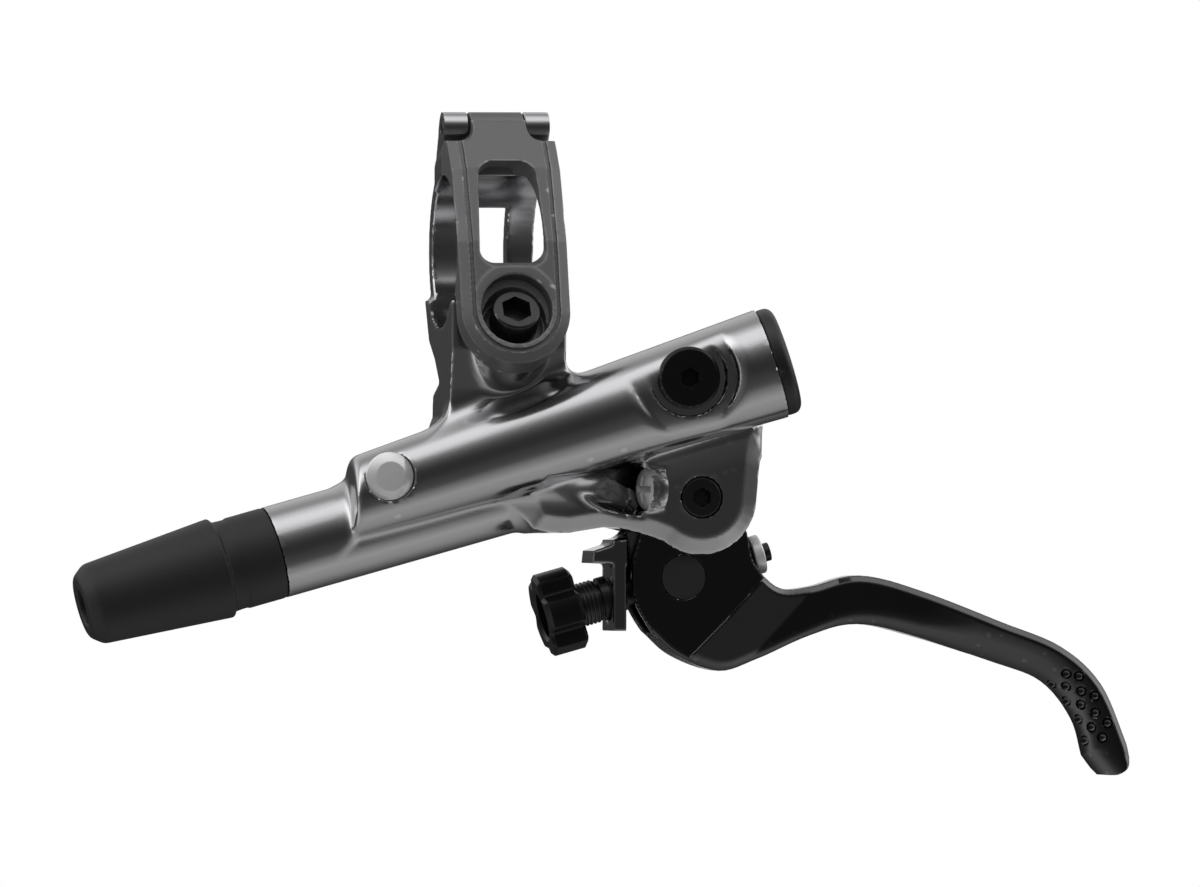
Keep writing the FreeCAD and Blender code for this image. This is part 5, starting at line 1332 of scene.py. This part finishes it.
def make_world():
    """White to the eye, and a studio of long soft lights for the finishes."""
    world = bpy.data.worlds.new("studio")
    world.use_nodes = True
    bpy.context.scene.world = world
    tree = world.node_tree
    nodes, links = tree.nodes, tree.links
    place = nodes.new("ShaderNodeTexCoord")
    split = nodes.new("ShaderNodeSeparateXYZ")
    links.new(place.outputs["Generated"], split.inputs[0])
    front = math_node(tree, "MULTIPLY", split.outputs[1], -1.0)
    turn = math_node(tree, "ARCTAN2", split.outputs[2], front)
    share = math_node(tree, "MULTIPLY_ADD", turn, 1 / (2 * math.pi), 0.5)
    ring = nodes.new("ShaderNodeFloatCurve")
    # a curve holds values up to 1, so the levels go in halved
    fill_curve(ring, [(degrees / 360 + 0.5, level / 2) for degrees, level in STUDIO])
    links.new(share, ring.inputs["Value"])
    level = math_node(tree, "MULTIPLY", ring.outputs[0], 2.0)
    aside = nodes.new("ShaderNodeMapRange")
    aside.inputs["From Min"].default_value = 0.45
    aside.inputs["From Max"].default_value = 0.95
    links.new(math_node(tree, "ABSOLUTE", split.outputs[0]), aside.inputs["Value"])
    gain = math_node(tree, "MULTIPLY_ADD", aside.outputs[0], SIDE_GAIN, 1.0)
    studio = nodes["Background"]
    studio.inputs["Color"].default_value = (1, 1, 1, 1)
    links.new(math_node(tree, "MULTIPLY", level, gain), studio.inputs["Strength"])
    eye = nodes.new("ShaderNodeBackground")
    path = nodes.new("ShaderNodeLightPath")
    mix = nodes.new("ShaderNodeMixShader")
    eye.inputs["Color"].default_value = (1, 1, 1, 1)
    links.new(path.outputs["Is Camera Ray"], mix.inputs["Fac"])
    links.new(studio.outputs[0], mix.inputs[1])
    links.new(eye.outputs[0], mix.inputs[2])
    links.new(mix.outputs[0], nodes["World Output"].inputs["Surface"])


class LEVER_PT_pieces(bpy.types.Panel):
    """Pieces, sizes and colours of the brake lever"""
    bl_label = "Brake lever"
    bl_idname = "LEVER_PT_pieces"
    bl_space_type = "VIEW_3D"
    bl_region_type = "UI"
    bl_category = "Brake lever"

    def draw(self, context):
        for operator in OPERATORS:
            self.layout.operator(operator.bl_idname)
        for settings in (context.scene.lever_sizes, context.scene.lever_colours):
            for name in settings.__annotations__:
                self.layout.prop(settings, name)


OPERATORS = (LEVER_OT_finishes, LEVER_OT_casting, LEVER_OT_clamp, LEVER_OT_link, LEVER_OT_blade,
             LEVER_OT_screws, LEVER_OT_turned, LEVER_OT_knob, LEVER_OT_stage)
CLASSES = (LeverColours, LeverSizes) + OPERATORS + (LEVER_PT_pieces,)


def register():
    """Register the classes and the scene's settings."""
    for item in CLASSES:
        bpy.utils.register_class(item)
    bpy.types.Scene.lever_colours = PointerProperty(type=LeverColours)
    bpy.types.Scene.lever_sizes = PointerProperty(type=LeverSizes)


def unregister():
    """Remove the settings and the classes."""
    del bpy.types.Scene.lever_sizes
    del bpy.types.Scene.lever_colours
    for item in reversed(CLASSES):
        bpy.utils.unregister_class(item)


def main():
    """Build everything, in order."""
    register()
    bpy.ops.lever.finishes()
    bpy.ops.lever.casting()
    bpy.ops.lever.clamp()
    bpy.ops.lever.link()
    bpy.ops.lever.blade()
    bpy.ops.lever.screws()
    bpy.ops.lever.turned()
    bpy.ops.lever.knob()
    bpy.ops.lever.stage()


if __name__ == "__main__":
    main()
